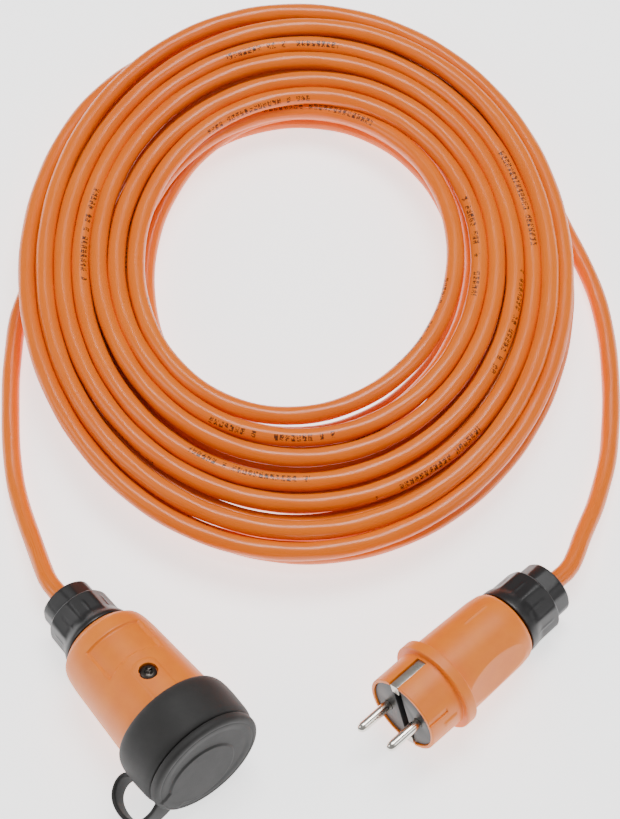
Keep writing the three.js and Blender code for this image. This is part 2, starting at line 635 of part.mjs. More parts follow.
function buildPlug() {
  const group = new THREE.Group()
  group.name = 'plug'
  const p = PLUG
  const shellStart = p.nutLength + GAP
  const blockBack = p.faceX - 31.4
  const seat = p.faceX - 9.4
  const faceIn = p.faceX - 0.8
  const insertR = 17.3
  const cavityStart = 34.0

  const outline = turned([
    [shellStart, 0],
    [shellStart, p.rearR - 2.6],
    [shellStart + 0.8, p.rearR - 1.0],
    [shellStart + 2.6, p.rearR],
    [p.bodyX, p.bodyR],
    [p.flangeStart, p.frontR],
    [p.flangeStart + 0.2, p.flangeR - 0.9],
    [p.flangeStart + 1.2, p.flangeR],
    [p.flangeEnd - 1.2, p.flangeR],
    [p.flangeEnd - 0.2, p.flangeR - 0.9],
    [p.flangeEnd, p.noseR],
    [p.faceX - 0.6, p.noseR],
    [p.faceX, p.noseR - 0.6],
    [p.faceX, 0],
  ])
  const cavity = turned([
    [cavityStart, 0],
    [cavityStart, 11.0],
    [cavityStart + 6, 14.3],
    [blockBack - 2, 14.5],
    [blockBack - 2, insertR + GAP],
    [p.faceX + 1, insertR + GAP],
    [p.faceX + 1, 0],
  ])
  const passage = bar(GLAND.sealEnd, cavityStart + 2, GLAND.seatR - 3)
  // hollows for finger and thumb on both sides of the grip
  const hollowR = 52.0
  const hollows = [-1, 1].map((side) => {
    const geometry = new THREE.CylinderGeometry(hollowR, hollowR, 60, 80)
    geometry.rotateX(Math.PI / 2)
    geometry.translate(50.0, side * (p.bodyR - 1.4 + hollowR), 0)
    return solid(geometry)
  })
  // slots through the nose for the earth spring's arms
  const slotHalf = 2.8
  const slots = block(p.flangeEnd + 1.5, p.faceX + 1, -slotHalf, slotHalf, -30, 30)
  const armR = p.noseR - 0.9
  const channels = block(blockBack - 2.8, p.flangeEnd + 2, -slotHalf, slotHalf, -armR - GAP, armR + GAP)
  // guide rib on the nose, beside the right-hand pin
  const rib = block(p.flangeEnd + 4, p.flangeEnd + 11.5, p.noseR - 1.5, p.noseR + 0.55, -3.4, -0.4)
  const guides = [-1, 1].map((side) =>
    block(p.flangeEnd + 8, p.faceX + 1, side > 0 ? p.noseR - 0.9 : -p.noseR - 2, side > 0 ? p.noseR + 2 : -p.noseR + 0.9, 3.5, 6.5))
  const shell = cut(join(outline, neck(shellStart), rib), cavity, passage, ...hollows, slots, channels, ...guides)
  group.add(meshOf('plug_housing', shell, ORANGE_SHELL))

  // contact carrier: face disc with a slot across it, and the terminal block behind
  const disc = turned([
    [seat, 0],
    [seat, insertR],
    [faceIn, insertR],
    [faceIn, 0],
  ])
  const rear = block(blockBack, seat + 1, -14.2, 14.2, -9.8, 9.8)
  const faceSlot = block(faceIn - 4.5, faceIn + 1, -2.4, 2.4, -30, 30)
  const armSlots = [-1, 1].map((side) =>
    block(seat - 1, faceIn + 1, -2.7, 2.7, side > 0 ? 11.8 : -30, side > 0 ? 30 : -11.8))
  const pinCuts = [-1, 1].flatMap((side) => [
    bar(blockBack - 1, faceIn + 1, PIN_D / 2 + 0.25, TINY_ROUND).translate([0, (side * PIN_SPACING) / 2, 0]),
    bar(blockBack - 1, seat - 5.7, 4.0, TINY_ROUND).translate([0, (side * PIN_SPACING) / 2, 0]),
    post(blockBack + 5, (side * PIN_SPACING) / 2, 0, 20, 2.9),
  ])
  group.add(meshOf('plug_contact_carrier', cut(join(disc, rear), faceSlot, ...armSlots, ...pinCuts), BLACK_INSERT))

  for (const [side, label] of [[1, 'left'], [-1, 'right']]) {
    const y = (side * PIN_SPACING) / 2
    const pinR = PIN_D / 2
    const tip = faceIn + PIN_REACH
    const pin = cut(
      turned([
        [blockBack + 1, 0],
        [blockBack + 1, 3.7],
        [seat - 6, 3.7],
        [seat - 6, pinR],
        [tip - 1.9, pinR],
        [tip - 0.9, pinR * 0.82],
        [tip - 0.2, pinR * 0.45],
        [tip, 0],
      ], SMALL_ROUND),
      bar(blockBack, blockBack + 8.5, 1.6, TINY_ROUND),
      post(blockBack + 5, 0, 0, 6, 1.55, 12),
    )
    group.add(meshOf(`plug_pin_${label}`, pin.translate([0, y, 0]), NICKEL))
    group.add(crossScrew(`plug_terminal_screw_${label}`, blockBack + 5, y, 8.4, 2.6, 2.0, 1.3, 1.75, ZINC_SCREW))
  }

  group.add(earthStrap('plug_earth_strap', {
    back: blockBack - 2.4, front: p.faceX, armR, hook: 4.6, hookRun: 1.4, width: 4.4,
  }))
  const earthScrew = turned([
    [blockBack - 5.0, 0],
    [blockBack - 5.0, 2.6],
    [blockBack - 2.7, 2.6],
    [blockBack - 2.7, 0],
  ], TINY_ROUND)
  const earthSlot = block(blockBack - 6, blockBack - 4.1, -0.4, 0.4, -3, 3)
  group.add(meshOf('plug_earth_screw', earthScrew.subtract(earthSlot), ZINC_SCREW))

  group.add(glandSeal('plug_gland_seal'))
  group.add(clampingRing('plug_clamping_ring'))
  group.add(glandNut('plug_gland_nut', p))

  const coreStart = cavityStart + 0.5
  group.add(core('plug_core_brown', [coreStart, 1.6, 1.0], [blockBack + 0.7, PIN_SPACING / 2, 0], CORE_BROWN, 2.0))
  group.add(core('plug_core_blue', [coreStart, -1.6, 1.0], [blockBack + 0.7, -PIN_SPACING / 2, 0], CORE_BLUE, -2.0))
  group.add(core('plug_core_earth', [coreStart, 0, -1.9], [blockBack - 5.4, 0, -4.6], CORE_EARTH, 0))
  return group
}

// ---------------------------------------------------------------- laying on the surface

// nose-up angle of a fitting that rests on two rings of different radius
const pitchOn = (x1, r1, x2, r2) => Math.atan2(r2 - r1, x2 - x1)

function lay(fitting, place, rest) {
  const pitch = pitchOn(rest.x1, rest.r1, rest.x2, rest.r2)
  const rearHeight = (rest.r1 - rest.x1 * Math.tan(pitch)) * Math.cos(pitch)
  const heading = new THREE.Matrix4().makeRotationZ((place.heading * Math.PI) / 180)
  const nose = new THREE.Matrix4().makeRotationY(-pitch)
  const roll = new THREE.Matrix4().makeRotationX((place.roll * Math.PI) / 180)
  const matrix = heading.multiply(nose).multiply(roll)
  matrix.setPosition(place.x, place.y, rearHeight + 0.02)
  fitting.applyMatrix4(matrix)
}

const coupling = buildCoupling()
lay(coupling, COUPLING_PLACE, {
  x1: COUPLING.shoulderX, r1: COUPLING.shoulderR, x2: COUPLING.collarStart + 4, r2: COUPLING.collarR - 0.3,
})

const plug = buildPlug()
lay(plug, PLUG_PLACE, {
  x1: PLUG.nutLength * 0.33 + 1.2, r1: PLUG.nutBodyR, x2: PLUG.flangeStart + 1.2, r2: PLUG.flangeR,
})

// ---------------------------------------------------------------- cord

// coil: one ring with the outline of the stacked turns, flat where it lies on the surface
function buildCoil() {
  const inner = COIL.halfX - COIL.width
  const outer = COIL.halfX
  const low = 0.02
  const high = COIL.height
  const profile = [
    [inner + 3, low],
    [outer - 3, low],
    [outer, 4],
    [outer, 14],
    [outer - 4, 27],
    [outer - 12, high - 3],
    [outer - 18, high],
    [inner + 8, high],
    [inner + 2, high - 3],
    [inner, high - 9],
    [inner, 4],
  ]
  const points = profile.map(([radius, z]) => new THREE.Vector2(radius, z))
  points.push(points[0].clone())
  const geometry = new THREE.LatheGeometry(points, 60)
  geometry.rotateX(Math.PI / 2)
  geometry.scale(1, COIL.halfY / COIL.halfX, 1)
  geometry.translate(COIL.x, COIL.y, 0)
  return geometry
}

const coil = meshOf('cord_coil', solid(buildCoil()), ORANGE_JACKET)

// a lead: inside the fitting, straight out of its nut, then over the surface to the coil
function lead(name, fitting, insideX, route, steps) {
  fitting.updateMatrixWorld(true)
  const straight = [insideX, 12, 0, -14].map((x) => fitting.localToWorld(new THREE.Vector3(x, 0, 0)))
  const lying = route.map(([x, y, z]) => new THREE.Vector3(x, y, z))
  const mesh = new THREE.Mesh(sweep([...straight, ...lying], CORD_D, steps, 10), ORANGE_JACKET)
  mesh.name = name
  return mesh
}

const COUPLING_ROUTE = [
  [-126.9, 76.7, 10.5],
  [-133.9, 95.7, 6.8],
  [-139.6, 116.7, 5.0],
  [-142.6, 140.7, 4.6],
  [-144.0, 166.7, 4.6],
  [-143.7, 186.7, 4.6],
  [-142.6, 201.7, 4.6],
]

const PLUG_ROUTE = [
  [128.9, 81.7, 11.3],
  [137.3, 102.7, 7.2],
  [143.9, 126.7, 5.1],
  [146.9, 152.7, 4.6],
  [147.6, 176.7, 4.6],
  [146.0, 200.7, 4.6],
  [142.0, 220.7, 4.6],
  [135.8, 238.7, 4.6],
]

const group = new THREE.Group()
group.name = 'extension_cord'
group.add(coupling)
group.add(plug)
group.add(coil)
group.add(lead('coupling_lead', coupling, COUPLING.shoulderX - 4.3, COUPLING_ROUTE, 34))
group.add(lead('plug_lead', plug, 34.2, PLUG_ROUTE, 34))

export default group
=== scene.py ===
# %% [markdown]
# An outdoor extension cord
#
# The cord is a rewirable one: about sixteen metres of orange sheathed cable, an earthed plug at one
# end and a coupling socket with a tethered rubber lid at the other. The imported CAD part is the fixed
# frame. It says where every piece is and which body it moves with. This script makes the fine
# surfaces and the finishes, and each of them is built where the CAD says.

import json
import math

import bmesh
import bpy
import numpy as np
from mathutils import Matrix, Vector


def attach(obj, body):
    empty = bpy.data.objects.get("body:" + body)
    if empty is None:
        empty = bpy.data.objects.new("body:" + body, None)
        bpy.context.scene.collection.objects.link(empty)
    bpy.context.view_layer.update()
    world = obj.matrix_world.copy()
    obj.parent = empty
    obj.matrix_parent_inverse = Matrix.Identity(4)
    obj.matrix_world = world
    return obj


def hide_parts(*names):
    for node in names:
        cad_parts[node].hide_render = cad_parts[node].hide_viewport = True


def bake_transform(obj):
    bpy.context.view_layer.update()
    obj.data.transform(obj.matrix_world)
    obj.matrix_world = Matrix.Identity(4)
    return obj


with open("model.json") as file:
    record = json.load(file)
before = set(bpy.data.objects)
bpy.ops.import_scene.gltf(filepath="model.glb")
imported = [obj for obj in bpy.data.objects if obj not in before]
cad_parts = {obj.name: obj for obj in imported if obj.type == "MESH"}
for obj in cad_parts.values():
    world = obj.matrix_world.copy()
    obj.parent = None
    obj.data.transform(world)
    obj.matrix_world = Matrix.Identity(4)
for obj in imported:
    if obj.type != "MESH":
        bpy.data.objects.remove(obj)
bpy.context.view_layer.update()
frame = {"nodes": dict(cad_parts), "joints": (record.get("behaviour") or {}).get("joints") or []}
MM = 0.001


def put(name, data):
    """Make an object from its data and show it in the scene."""
    made = bpy.data.objects.new(name, data)
    bpy.context.scene.collection.objects.link(made)
    return made


print("CAD nodes:", len(frame["nodes"]))

# %% [markdown]
# The view
#
# The cord lies on a floor and is seen from the front and well above, with a long lens, so that the
# coil keeps nearly one scale from near to far. A target, a height angle and a distance place the camera.

# %% Camera
VIEW_TARGET = Vector((0.0014, 0.1547, 0.0))
VIEW_HEIGHT_ANGLE = math.radians(62)
VIEW_DISTANCE = 1.2
LENS_MM = 143.5
SENSOR_MM = 36.0

camera_data = bpy.data.cameras.new("camera")
camera_data.sensor_fit = "HORIZONTAL"
camera_data.sensor_width = SENSOR_MM
camera_data.lens = LENS_MM
camera = put("camera", camera_data)
toward_camera = Vector((0.0, -math.cos(VIEW_HEIGHT_ANGLE), math.sin(VIEW_HEIGHT_ANGLE)))
camera.location = VIEW_TARGET + VIEW_DISTANCE * toward_camera
camera.rotation_euler = (-toward_camera).to_track_quat("-Z", "Y").to_euler()
bpy.context.scene.camera = camera
print("camera at", [round(v, 3) for v in camera.location])

# %% [markdown]
# Colours and nodes
#
# Colours are easiest to read as sRGB hex values, but a shader computes in linear light, so one
# function turns them. Another adds a node, sets it and links it, so that a material reads as a list.

# %% Helpers for materials
def linear(hex_colour):
    channels = [int(hex_colour[i:i + 2], 16) / 255 for i in (1, 3, 5)]
    turned = [c / 12.92 if c <= 0.04045 else ((c + 0.055) / 1.055) ** 2.4 for c in channels]
    return (*turned, 1.0)


def add(tree, kind, inputs=None, **settings):
    made = tree.nodes.new(kind)
    for key, value in settings.items():
        setattr(made, key, value)
    for key, value in (inputs or {}).items():
        if isinstance(value, bpy.types.NodeSocket):
            tree.links.new(value, made.inputs[key])
        else:
            made.inputs[key].default_value = value
    return made


def new_material(name):
    made = bpy.data.materials.new(name)
    made.use_nodes = True
    made.node_tree.nodes.clear()
    return made, made.node_tree


def close_material(tree, shader):
    add(tree, "ShaderNodeOutputMaterial", {"Surface": shader.outputs["BSDF"]})


print("a mid orange in linear light:", [round(c, 3) for c in linear("#E66A00")])


# %% [markdown]
# Floor and light
#
# A pale floor that glows a little and large soft lights show the pieces without hard shadows. One wide
# panel above and behind the coil draws the pale line along the crown of every turn. Two weaker panels
# and a dim surround fill the sides, so that black mouldings keep their form.

# %% Floor, panels and surround
floor_mesh = bpy.data.meshes.new("floor")
FLOOR_HALF = 6.0
floor_corners = [(-FLOOR_HALF, -FLOOR_HALF, 0), (FLOOR_HALF, -FLOOR_HALF, 0),
                 (FLOOR_HALF, FLOOR_HALF, 0), (-FLOOR_HALF, FLOOR_HALF, 0)]
floor_mesh.from_pydata(floor_corners, [], [(0, 1, 2, 3)])
floor = put("floor", floor_mesh)
floor_material, tree = new_material("matt_white_paper")
floor_tone = add(tree, "ShaderNodeTexNoise", {"Scale": 3.0, "Detail": 2.0})
floor_ramp = add(tree, "ShaderNodeValToRGB", {"Fac": floor_tone.outputs["Fac"]})
floor_ramp.color_ramp.elements[0].color = linear("#F4F4F4")
floor_ramp.color_ramp.elements[1].color = linear("#FBFBFB")
close_material(tree, add(tree, "ShaderNodeBsdfPrincipled", {
    "Base Color": floor_ramp.outputs["Color"], "Roughness": 0.9, "Specular IOR Level": 0.1,
    "Emission Color": floor_ramp.outputs["Color"], "Emission Strength": 1.9}))
floor_mesh.materials.append(floor_material)


def panel(name, place, target, wide, high, watts):
    data = bpy.data.lights.new(name, "AREA")
    data.shape = "RECTANGLE"
    data.size = wide
    data.size_y = high
    data.energy = watts
    light = put(name, data)
    light.location = place
    light.rotation_euler = (Vector(target) - Vector(place)).to_track_quat("-Z", "Y").to_euler()


panel("panel_above", (0.1, 0.55, 1.5), (0, 0.15, 0), 0.9, 0.6, 21.0)
panel("panel_left", (-1.5, -0.1, 1.1), (0, 0.1, 0), 0.8, 0.8, 7.0)
panel("panel_right", (1.4, -0.3, 1.2), (0, 0.1, 0), 0.6, 0.8, 4.0)
world = bpy.data.worlds.new("surround")
world.use_nodes = True
SURROUND_STRENGTH = 0.34
world.node_tree.nodes["Background"].inputs["Color"].default_value = (1.0, 1.0, 1.0, 1.0)
world.node_tree.nodes["Background"].inputs["Strength"].default_value = SURROUND_STRENGTH
bpy.context.scene.world = world
print("three panels and a surround")

# %% [markdown]
# Where the fittings lie
#
# Both fittings are designed along their own axis: x starts at the rear of the gland nut and runs to
# the mating face, z points up and y to the left. The nut's turning joint in the record gives that
# axis and its origin, and the roll about it completes the frame. Points are then written in the
# fitting's own millimetres and laid in place by one matrix.

# %% Frames of the two fittings
COUPLING_ROLL = math.radians(-6)
PLUG_ROLL = math.radians(25)


def fitting_frame(joint_name, roll):
    joint = next(j for j in frame["joints"] if j["name"] == joint_name)
    along = -Vector(joint["axis"]).normalized()
    left = Vector((0, 0, 1)).cross(along).normalized()
    up = along.cross(left)
    turned = Matrix((along, left, up)).transposed() @ Matrix.Rotation(roll, 3, "X")
    return np.array(turned), np.array(joint["pos_m"])


COUPLING = fitting_frame("coupling_nut_turn", COUPLING_ROLL)
PLUG = fitting_frame("plug_nut_turn", PLUG_ROLL)


def laid(fitting, points_mm):
    axes, origin = fitting
    return np.asarray(points_mm, float) @ axes.T * MM + origin


print("coupling axis", COUPLING[0][:, 0].round(3), "plug axis", PLUG[0][:, 0].round(3))

# %% [markdown]
# The cord's line
#
# The cable is nine millimetres thick and nearly sixteen metres long. It leaves each fitting straight, sinks
# to the floor in a low curve and joins a flat coil of twenty-one turns. The coil was laid by hand in four
# storeys: each storey winds from rim to hole or back, and the turns wander and cross a little. The
# loop below lays the turns out, and the next cell lets them settle.

# %% Lay out the turns
CORD_D = 9.0 * MM
COUPLING_ROUTE = np.array([
    [-126.9, 76.7, 10.5], [-133.9, 95.7, 6.8], [-139.6, 116.7, 5.0], [-142.6, 140.7, 4.6],
    [-144.0, 166.7, 4.6], [-143.7, 186.7, 4.6], [-142.6, 201.7, 4.6],
]) * MM
PLUG_ROUTE = np.array([
    [128.9, 81.7, 11.3], [137.3, 102.7, 7.2], [143.9, 126.7, 5.1], [146.9, 152.7, 4.6],
    [147.6, 176.7, 4.6], [146.0, 200.7, 4.6], [142.0, 220.7, 4.6], [135.8, 238.7, 4.6],
]) * MM
# the first lead slips under the rim here
UNDER_RIM = np.array([[-140.1, 213.4, 4.6], [-135.7, 227.4, 4.6], [-130.1, 242.4, 4.6]]) * MM

COIL_CENTRE = np.array([-4.1, 226.7]) * MM
COIL_STRETCH = 1.165
COIL_HOLE = 78.0 * MM
COIL_LEAN = 0.13
START_ANGLE = math.radians(186)
STOREY = 8.3
# one row for each storey: height of the cable, then (turn, half width) where a turn keeps its place
STOREYS = [
    (4.5, [(0.085, 123), (0.25, 118), (0.95, 116), (1.30, 105.5), (1.95, 104), (2.30, 94), (2.95, 92.5),
           (3.30, 82), (3.95, 79)]),
    (4.5 + STOREY, [(4.25, 79), (4.95, 82), (5.30, 92.5), (5.95, 94), (6.30, 104), (6.95, 105),
                    (7.30, 114.5), (7.95, 116), (8.30, 124.5), (8.80, 127)]),
    (4.5 + 2 * STOREY, [(9.02, 130.5), (9.77, 129.5), (10.20, 119), (10.90, 118), (11.25, 108),
                        (11.90, 107), (12.25, 97), (12.90, 96), (13.25, 86), (13.90, 84.5), (14.20, 78)]),
    (4.5 + 3 * STOREY, [(14.50, 78), (15.20, 78.5), (15.52, 87.3), (16.15, 88), (16.50, 96.3),
                        (17.10, 97), (17.45, 105.3), (18.10, 106), (18.45, 114.3), (19.10, 115),
                        (19.45, 123), (20.00, 123.5), (20.25, 131.5), (20.95, 131.5)]),
]
# the last turn slips down the outside to the floor
SLIP_DOWN = [(21.10, 132.0, 22.0), (21.22, 132.0, 9.0), (21.32, 130.5, 4.6), (21.42, 132.0, 4.6),
             (21.46, 134.5, 4.6)]
WANDER_SEED = 4
WANDER = 1.1 * MM
WANDER_PERIODS = (0.37, 0.53, 0.81, 1.27, 1.9)
POINTS_PER_TURN = 90


def ease(x):
    x = np.clip(x, 0.0, 1.0)
    return x * x * (3 - 2 * x)


def lay_out_coil():
    stops = [(turn, half, height) for height, row in STOREYS for turn, half in row] + SLIP_DOWN
    stops = np.array(stops)
    turn = np.arange(stops[0, 0], stops[-1, 0], 1 / POINTS_PER_TURN)
    before = np.clip(np.searchsorted(stops[:, 0], turn, side="right") - 1, 0, len(stops) - 2)
    share = ease((turn - stops[before, 0]) / (stops[before + 1, 0] - stops[before, 0]))
    half, height = (stops[before, k] * (1 - share) + stops[before + 1, k] * share for k in (1, 2))
    draw = np.random.default_rng(WANDER_SEED)
    wander = sum(draw.normal() * np.sin(2 * np.pi * (turn / period + draw.random()))
                 for period in WANDER_PERIODS)
    ends = ease((turn - turn[0]) / 0.4) * ease((turn[-1] - turn) / 0.6)
    half = half * MM + WANDER * wander / 1.6 * ends
    angle = START_ANGLE - 2 * np.pi * turn
    x = COIL_CENTRE[0] + half * np.cos(angle)
    y = COIL_CENTRE[1] - COIL_LEAN * (half - COIL_HOLE) + COIL_STRETCH * half * np.sin(angle)
    return np.column_stack([x, y, height * MM])


def smooth_line(points, step):
    """Catmull-Rom curve through the points, as points an even step apart."""
    padded = np.vstack([2 * points[0] - points[1], points, 2 * points[-1] - points[-2]])
    runs = []
    for a, b, c, d in zip(padded, padded[1:], padded[2:], padded[3:]):
        count = max(2, int(np.linalg.norm(c - b) / MM))
        s = np.linspace(0, 1, count, endpoint=False)[:, None]
        runs.append(0.5 * (2 * b + (c - a) * s + (2 * a - 5 * b + 4 * c - d) * s ** 2
                           + (3 * b - a - 3 * c + d) * s ** 3))
    fine = np.vstack(runs + [points[-1:]])
    along = np.r_[0, np.cumsum(np.linalg.norm(np.diff(fine, axis=0), axis=1))]
    even = np.linspace(0, along[-1], int(round(along[-1] / step)) + 1)
    return np.column_stack([np.interp(even, along, fine[:, k]) for k in range(3)]), along[-1]


coupling_straight = laid(COUPLING, [[x, 0, 0] for x in (12.0, 0.0, -14.0)])
plug_straight = laid(PLUG, [[x, 0, 0] for x in (-14.0, 0.0, 12.0)])
SETTLE_STEP = 8.5 * MM
drawn_line, drawn_length = smooth_line(np.vstack([
    coupling_straight, COUPLING_ROUTE, UNDER_RIM, lay_out_coil(), PLUG_ROUTE[::-1], plug_straight,
]), SETTLE_STEP)
print("cable laid out:", round(drawn_length, 3), "m,", len(drawn_line), "points")

# %% [markdown]
# Letting the coil settle
#
# A heap of cable finds its own shape. Each turn sinks until it rests on the turns below, no two run
# into each other, and the cable keeps its length and the curve it was wound to. A few hundred small
# steps of position-based dynamics do this, as in a cloth solver, but on one row of points.

# %% Settle the turns
SETTLE_ROUNDS = 900
SLOW_FROM = 0.6
CALM_FROM = 0.85
SINK_FAST, SINK_SLOW, SINK_CALM = 0.1 * MM, 0.04 * MM, 0.01 * MM
HOMING, HOMING_CALM = 0.015, 0.004
KEPT_SPEED = 0.8
TOP_SPEED = 0.6 * MM
PUSH_GAIN = 1.6
PULL_SHARE = 0.25
BEND_REACHES = ((2, 0.18), (5, 0.22))
FIXED_COUPLING_END = 0.185
FIXED_PLUG_END = 0.215
TOUCH = CORD_D * 1.004


def settle(line, held, rounds):
    count = len(line)
    spacing = np.linalg.norm(np.diff(line, axis=0), axis=1).mean()
    free = (~held)[:, None].astype(float)
    rest, place, speed = line.copy(), line.copy(), np.zeros_like(line)
    for step in range(rounds):
        calm = step >= rounds * CALM_FROM
        if step % 12 == 0:
            square = (place ** 2).sum(1)
            apart = square[:, None] + square[None, :] - 2 * place @ place.T
            first, second = np.nonzero(np.triu(apart < (1.85 * CORD_D) ** 2, 4))
        start = place.copy()
        place = place + free * KEPT_SPEED * speed
        sink = SINK_CALM if calm else SINK_SLOW if step > rounds * SLOW_FROM else SINK_FAST
        place[:, 2] -= sink * free[:, 0]
        place[:, :2] += free * (rest[:, :2] - place[:, :2]) * (HOMING_CALM if calm else HOMING)
        for _ in range(4 if calm else 2):
            # turns that run into each other are pushed apart
            gap = place[first] - place[second]
            far = np.sqrt((gap ** 2).sum(1)) + 1e-9
            hit = far < TOUCH
            a, b = first[hit], second[hit]
            push = gap[hit] / far[hit][:, None] * ((TOUCH - far[hit]) * 0.5)[:, None]
            total = np.column_stack([
                np.bincount(a, push[:, k], count) - np.bincount(b, push[:, k], count) for k in range(3)])
            hits = np.bincount(a, minlength=count) + np.bincount(b, minlength=count)
            place += free * total / np.maximum(hits, 1)[:, None] * PUSH_GAIN
            # the cable doesn't stretch
            run = np.diff(place, axis=0)
            long = np.sqrt((run ** 2).sum(1))
            pull = run * ((long - spacing) / long * PULL_SHARE)[:, None]
            place[:-1] += free[:-1] * pull
            place[1:] -= free[1:] * pull
            # it keeps the bend it was wound to
            for reach, strength in BEND_REACHES:
                middle = slice(reach, -reach)
                set_bend = rest[middle] - (rest[:-2 * reach] + rest[2 * reach:]) / 2
                wanted = (place[:-2 * reach] + place[2 * reach:]) / 2 + set_bend
                place[middle] += free[middle] * (wanted - place[middle]) * strength
            place[:, 2] = np.maximum(place[:, 2], CORD_D / 2 + 0.1 * MM)
        place = np.where(held[:, None], rest, place)
        speed = place - start
        fast = np.linalg.norm(speed, axis=1)
        speed *= np.minimum(1, TOP_SPEED / np.maximum(fast, 1e-9))[:, None]
    print("closest centre lines:", round(far.min() / MM, 2), "mm")
    return place


walked = np.r_[0, np.cumsum(np.linalg.norm(np.diff(drawn_line, axis=0), axis=1))]
held = (walked < FIXED_COUPLING_END) | (walked > walked[-1] - FIXED_PLUG_END)
settled = settle(drawn_line, held, SETTLE_ROUNDS)

# %% [markdown]
# The cable itself
#
# An extruded sheath is round, but the three cores under it are twisted, so the surface swells and
# dips very slightly in a long helix. That faint wobble is what breaks up the highlight. A mesh tube is
# swept along the settled line with rings that never twist against each other. Its UV map counts
# metres along and turns around, which the printed marks need.

# %% Sweep the tube
RING_STEP = 4.6 * MM
RING_SIDES = 18
LAY_LENGTH = 92 * MM
CORE_SWELL = 0.07 * MM
CORES = 3
TWIST_SEED = 11


def object_of(name, vertices, faces, material, sharp_deg=35):
    mesh = bpy.data.meshes.new(name)
    mesh.from_pydata([tuple(v) for v in vertices], [], [tuple(f) for f in faces])
    mesh.validate()
    mesh.shade_smooth()
    mesh.set_sharp_from_angle(angle=math.radians(sharp_deg))
    if material is not None:
        mesh.materials.append(material)
    return put(name, mesh)


def band_faces(rows, sides, closed=False):
    """Quads between rows of points that each run round; closed joins the last row to the first."""
    quads = []
    for i in range(rows if closed else rows - 1):
        low, high = i * sides, (i + 1) % rows * sides
        for k in range(sides):
            after = (k + 1) % sides
            quads.append((low + k, low + after, high + after, high + k))
    return quads


def sweep_frames(line):
    """Unit tangents and, across them, two directions that turn as little as possible."""
    tangent = np.gradient(line, axis=0)
    tangent /= np.linalg.norm(tangent, axis=1)[:, None]
    side = np.zeros_like(line)
    side[0] = np.cross(tangent[0], (0, 0, 1))
    side[0] /= np.linalg.norm(side[0])
    for i in range(1, len(line)):
        kept = side[i - 1] - tangent[i] * (side[i - 1] @ tangent[i])
        side[i] = kept / np.linalg.norm(kept)
    return tangent, side, np.cross(tangent, side)


def cable_tube(name, line, material):
    tangent, side, up = sweep_frames(line)
    along = np.r_[0, np.cumsum(np.linalg.norm(np.diff(line, axis=0), axis=1))]
    angle = np.linspace(0, 2 * np.pi, RING_SIDES, endpoint=False)
    swell = CORE_SWELL * np.cos(CORES * (angle[None, :] - 2 * np.pi * along[:, None] / LAY_LENGTH))
    radius = CORD_D / 2 + swell - CORE_SWELL
    rings = (line[:, None, :] + radius[:, :, None] * (np.cos(angle)[None, :, None] * side[:, None, :]
             + np.sin(angle)[None, :, None] * up[:, None, :]))
    vertices = np.vstack([rings.reshape(-1, 3), line[:1], line[-1:]])
    n = len(line)
    faces = band_faces(n, RING_SIDES)
    first, last = n * RING_SIDES, n * RING_SIDES + 1
    faces += [(first, (k + 1) % RING_SIDES, k) for k in range(RING_SIDES)]
    top = (n - 1) * RING_SIDES
    faces += [(last, top + k, top + (k + 1) % RING_SIDES) for k in range(RING_SIDES)]
    made = object_of(name, vertices, faces, material, 60)
    # the print line drifts slowly round the cable, as the cable was twisted when it was wound
    draw = np.random.default_rng(TWIST_SEED)
    drift = sum(0.22 * np.sin(2 * np.pi * (along / period + draw.random())) for period in (1.9, 3.1, 5.3))
    uv = made.data.uv_layers.new(name="cable")
    values = np.zeros((len(made.data.loops), 2))
    corner = np.array([loop.vertex_index for loop in made.data.loops])
    ring, spoke = np.minimum(corner // RING_SIDES, n - 1), corner % RING_SIDES
    values[:, 0] = spoke / RING_SIDES
    for face in made.data.polygons:
        turns = values[face.loop_start:face.loop_start + face.loop_total, 0]
        if turns.max() - turns.min() > 0.5:
            turns[turns < 0.5] += 1.0
    values[:, 0] += drift[ring]
    values[:, 1] = along[ring]
    uv.data.foreach_set("uv", values.ravel())
    return made


cable_line, cable_length = smooth_line(settled, RING_STEP)
print("cable:", round(cable_length, 3), "m, highest", round(cable_line[:, 2].max() / MM, 1), "mm")

# %% [markdown]
# Cable sheath
#
# Outdoor cable has a polyurethane sheath. It is extruded through a polished die, so it is glossy with
# a soft, slightly uneven highlight, and it takes up fine scuffs. A line of small ink-jet marks runs
# along it. The marks here are plain random dots in rows of cells, so they spell nothing. One dot of a
# real printer is about 0.4 mm; the cells are drawn at 0.5 mm so that they still show.

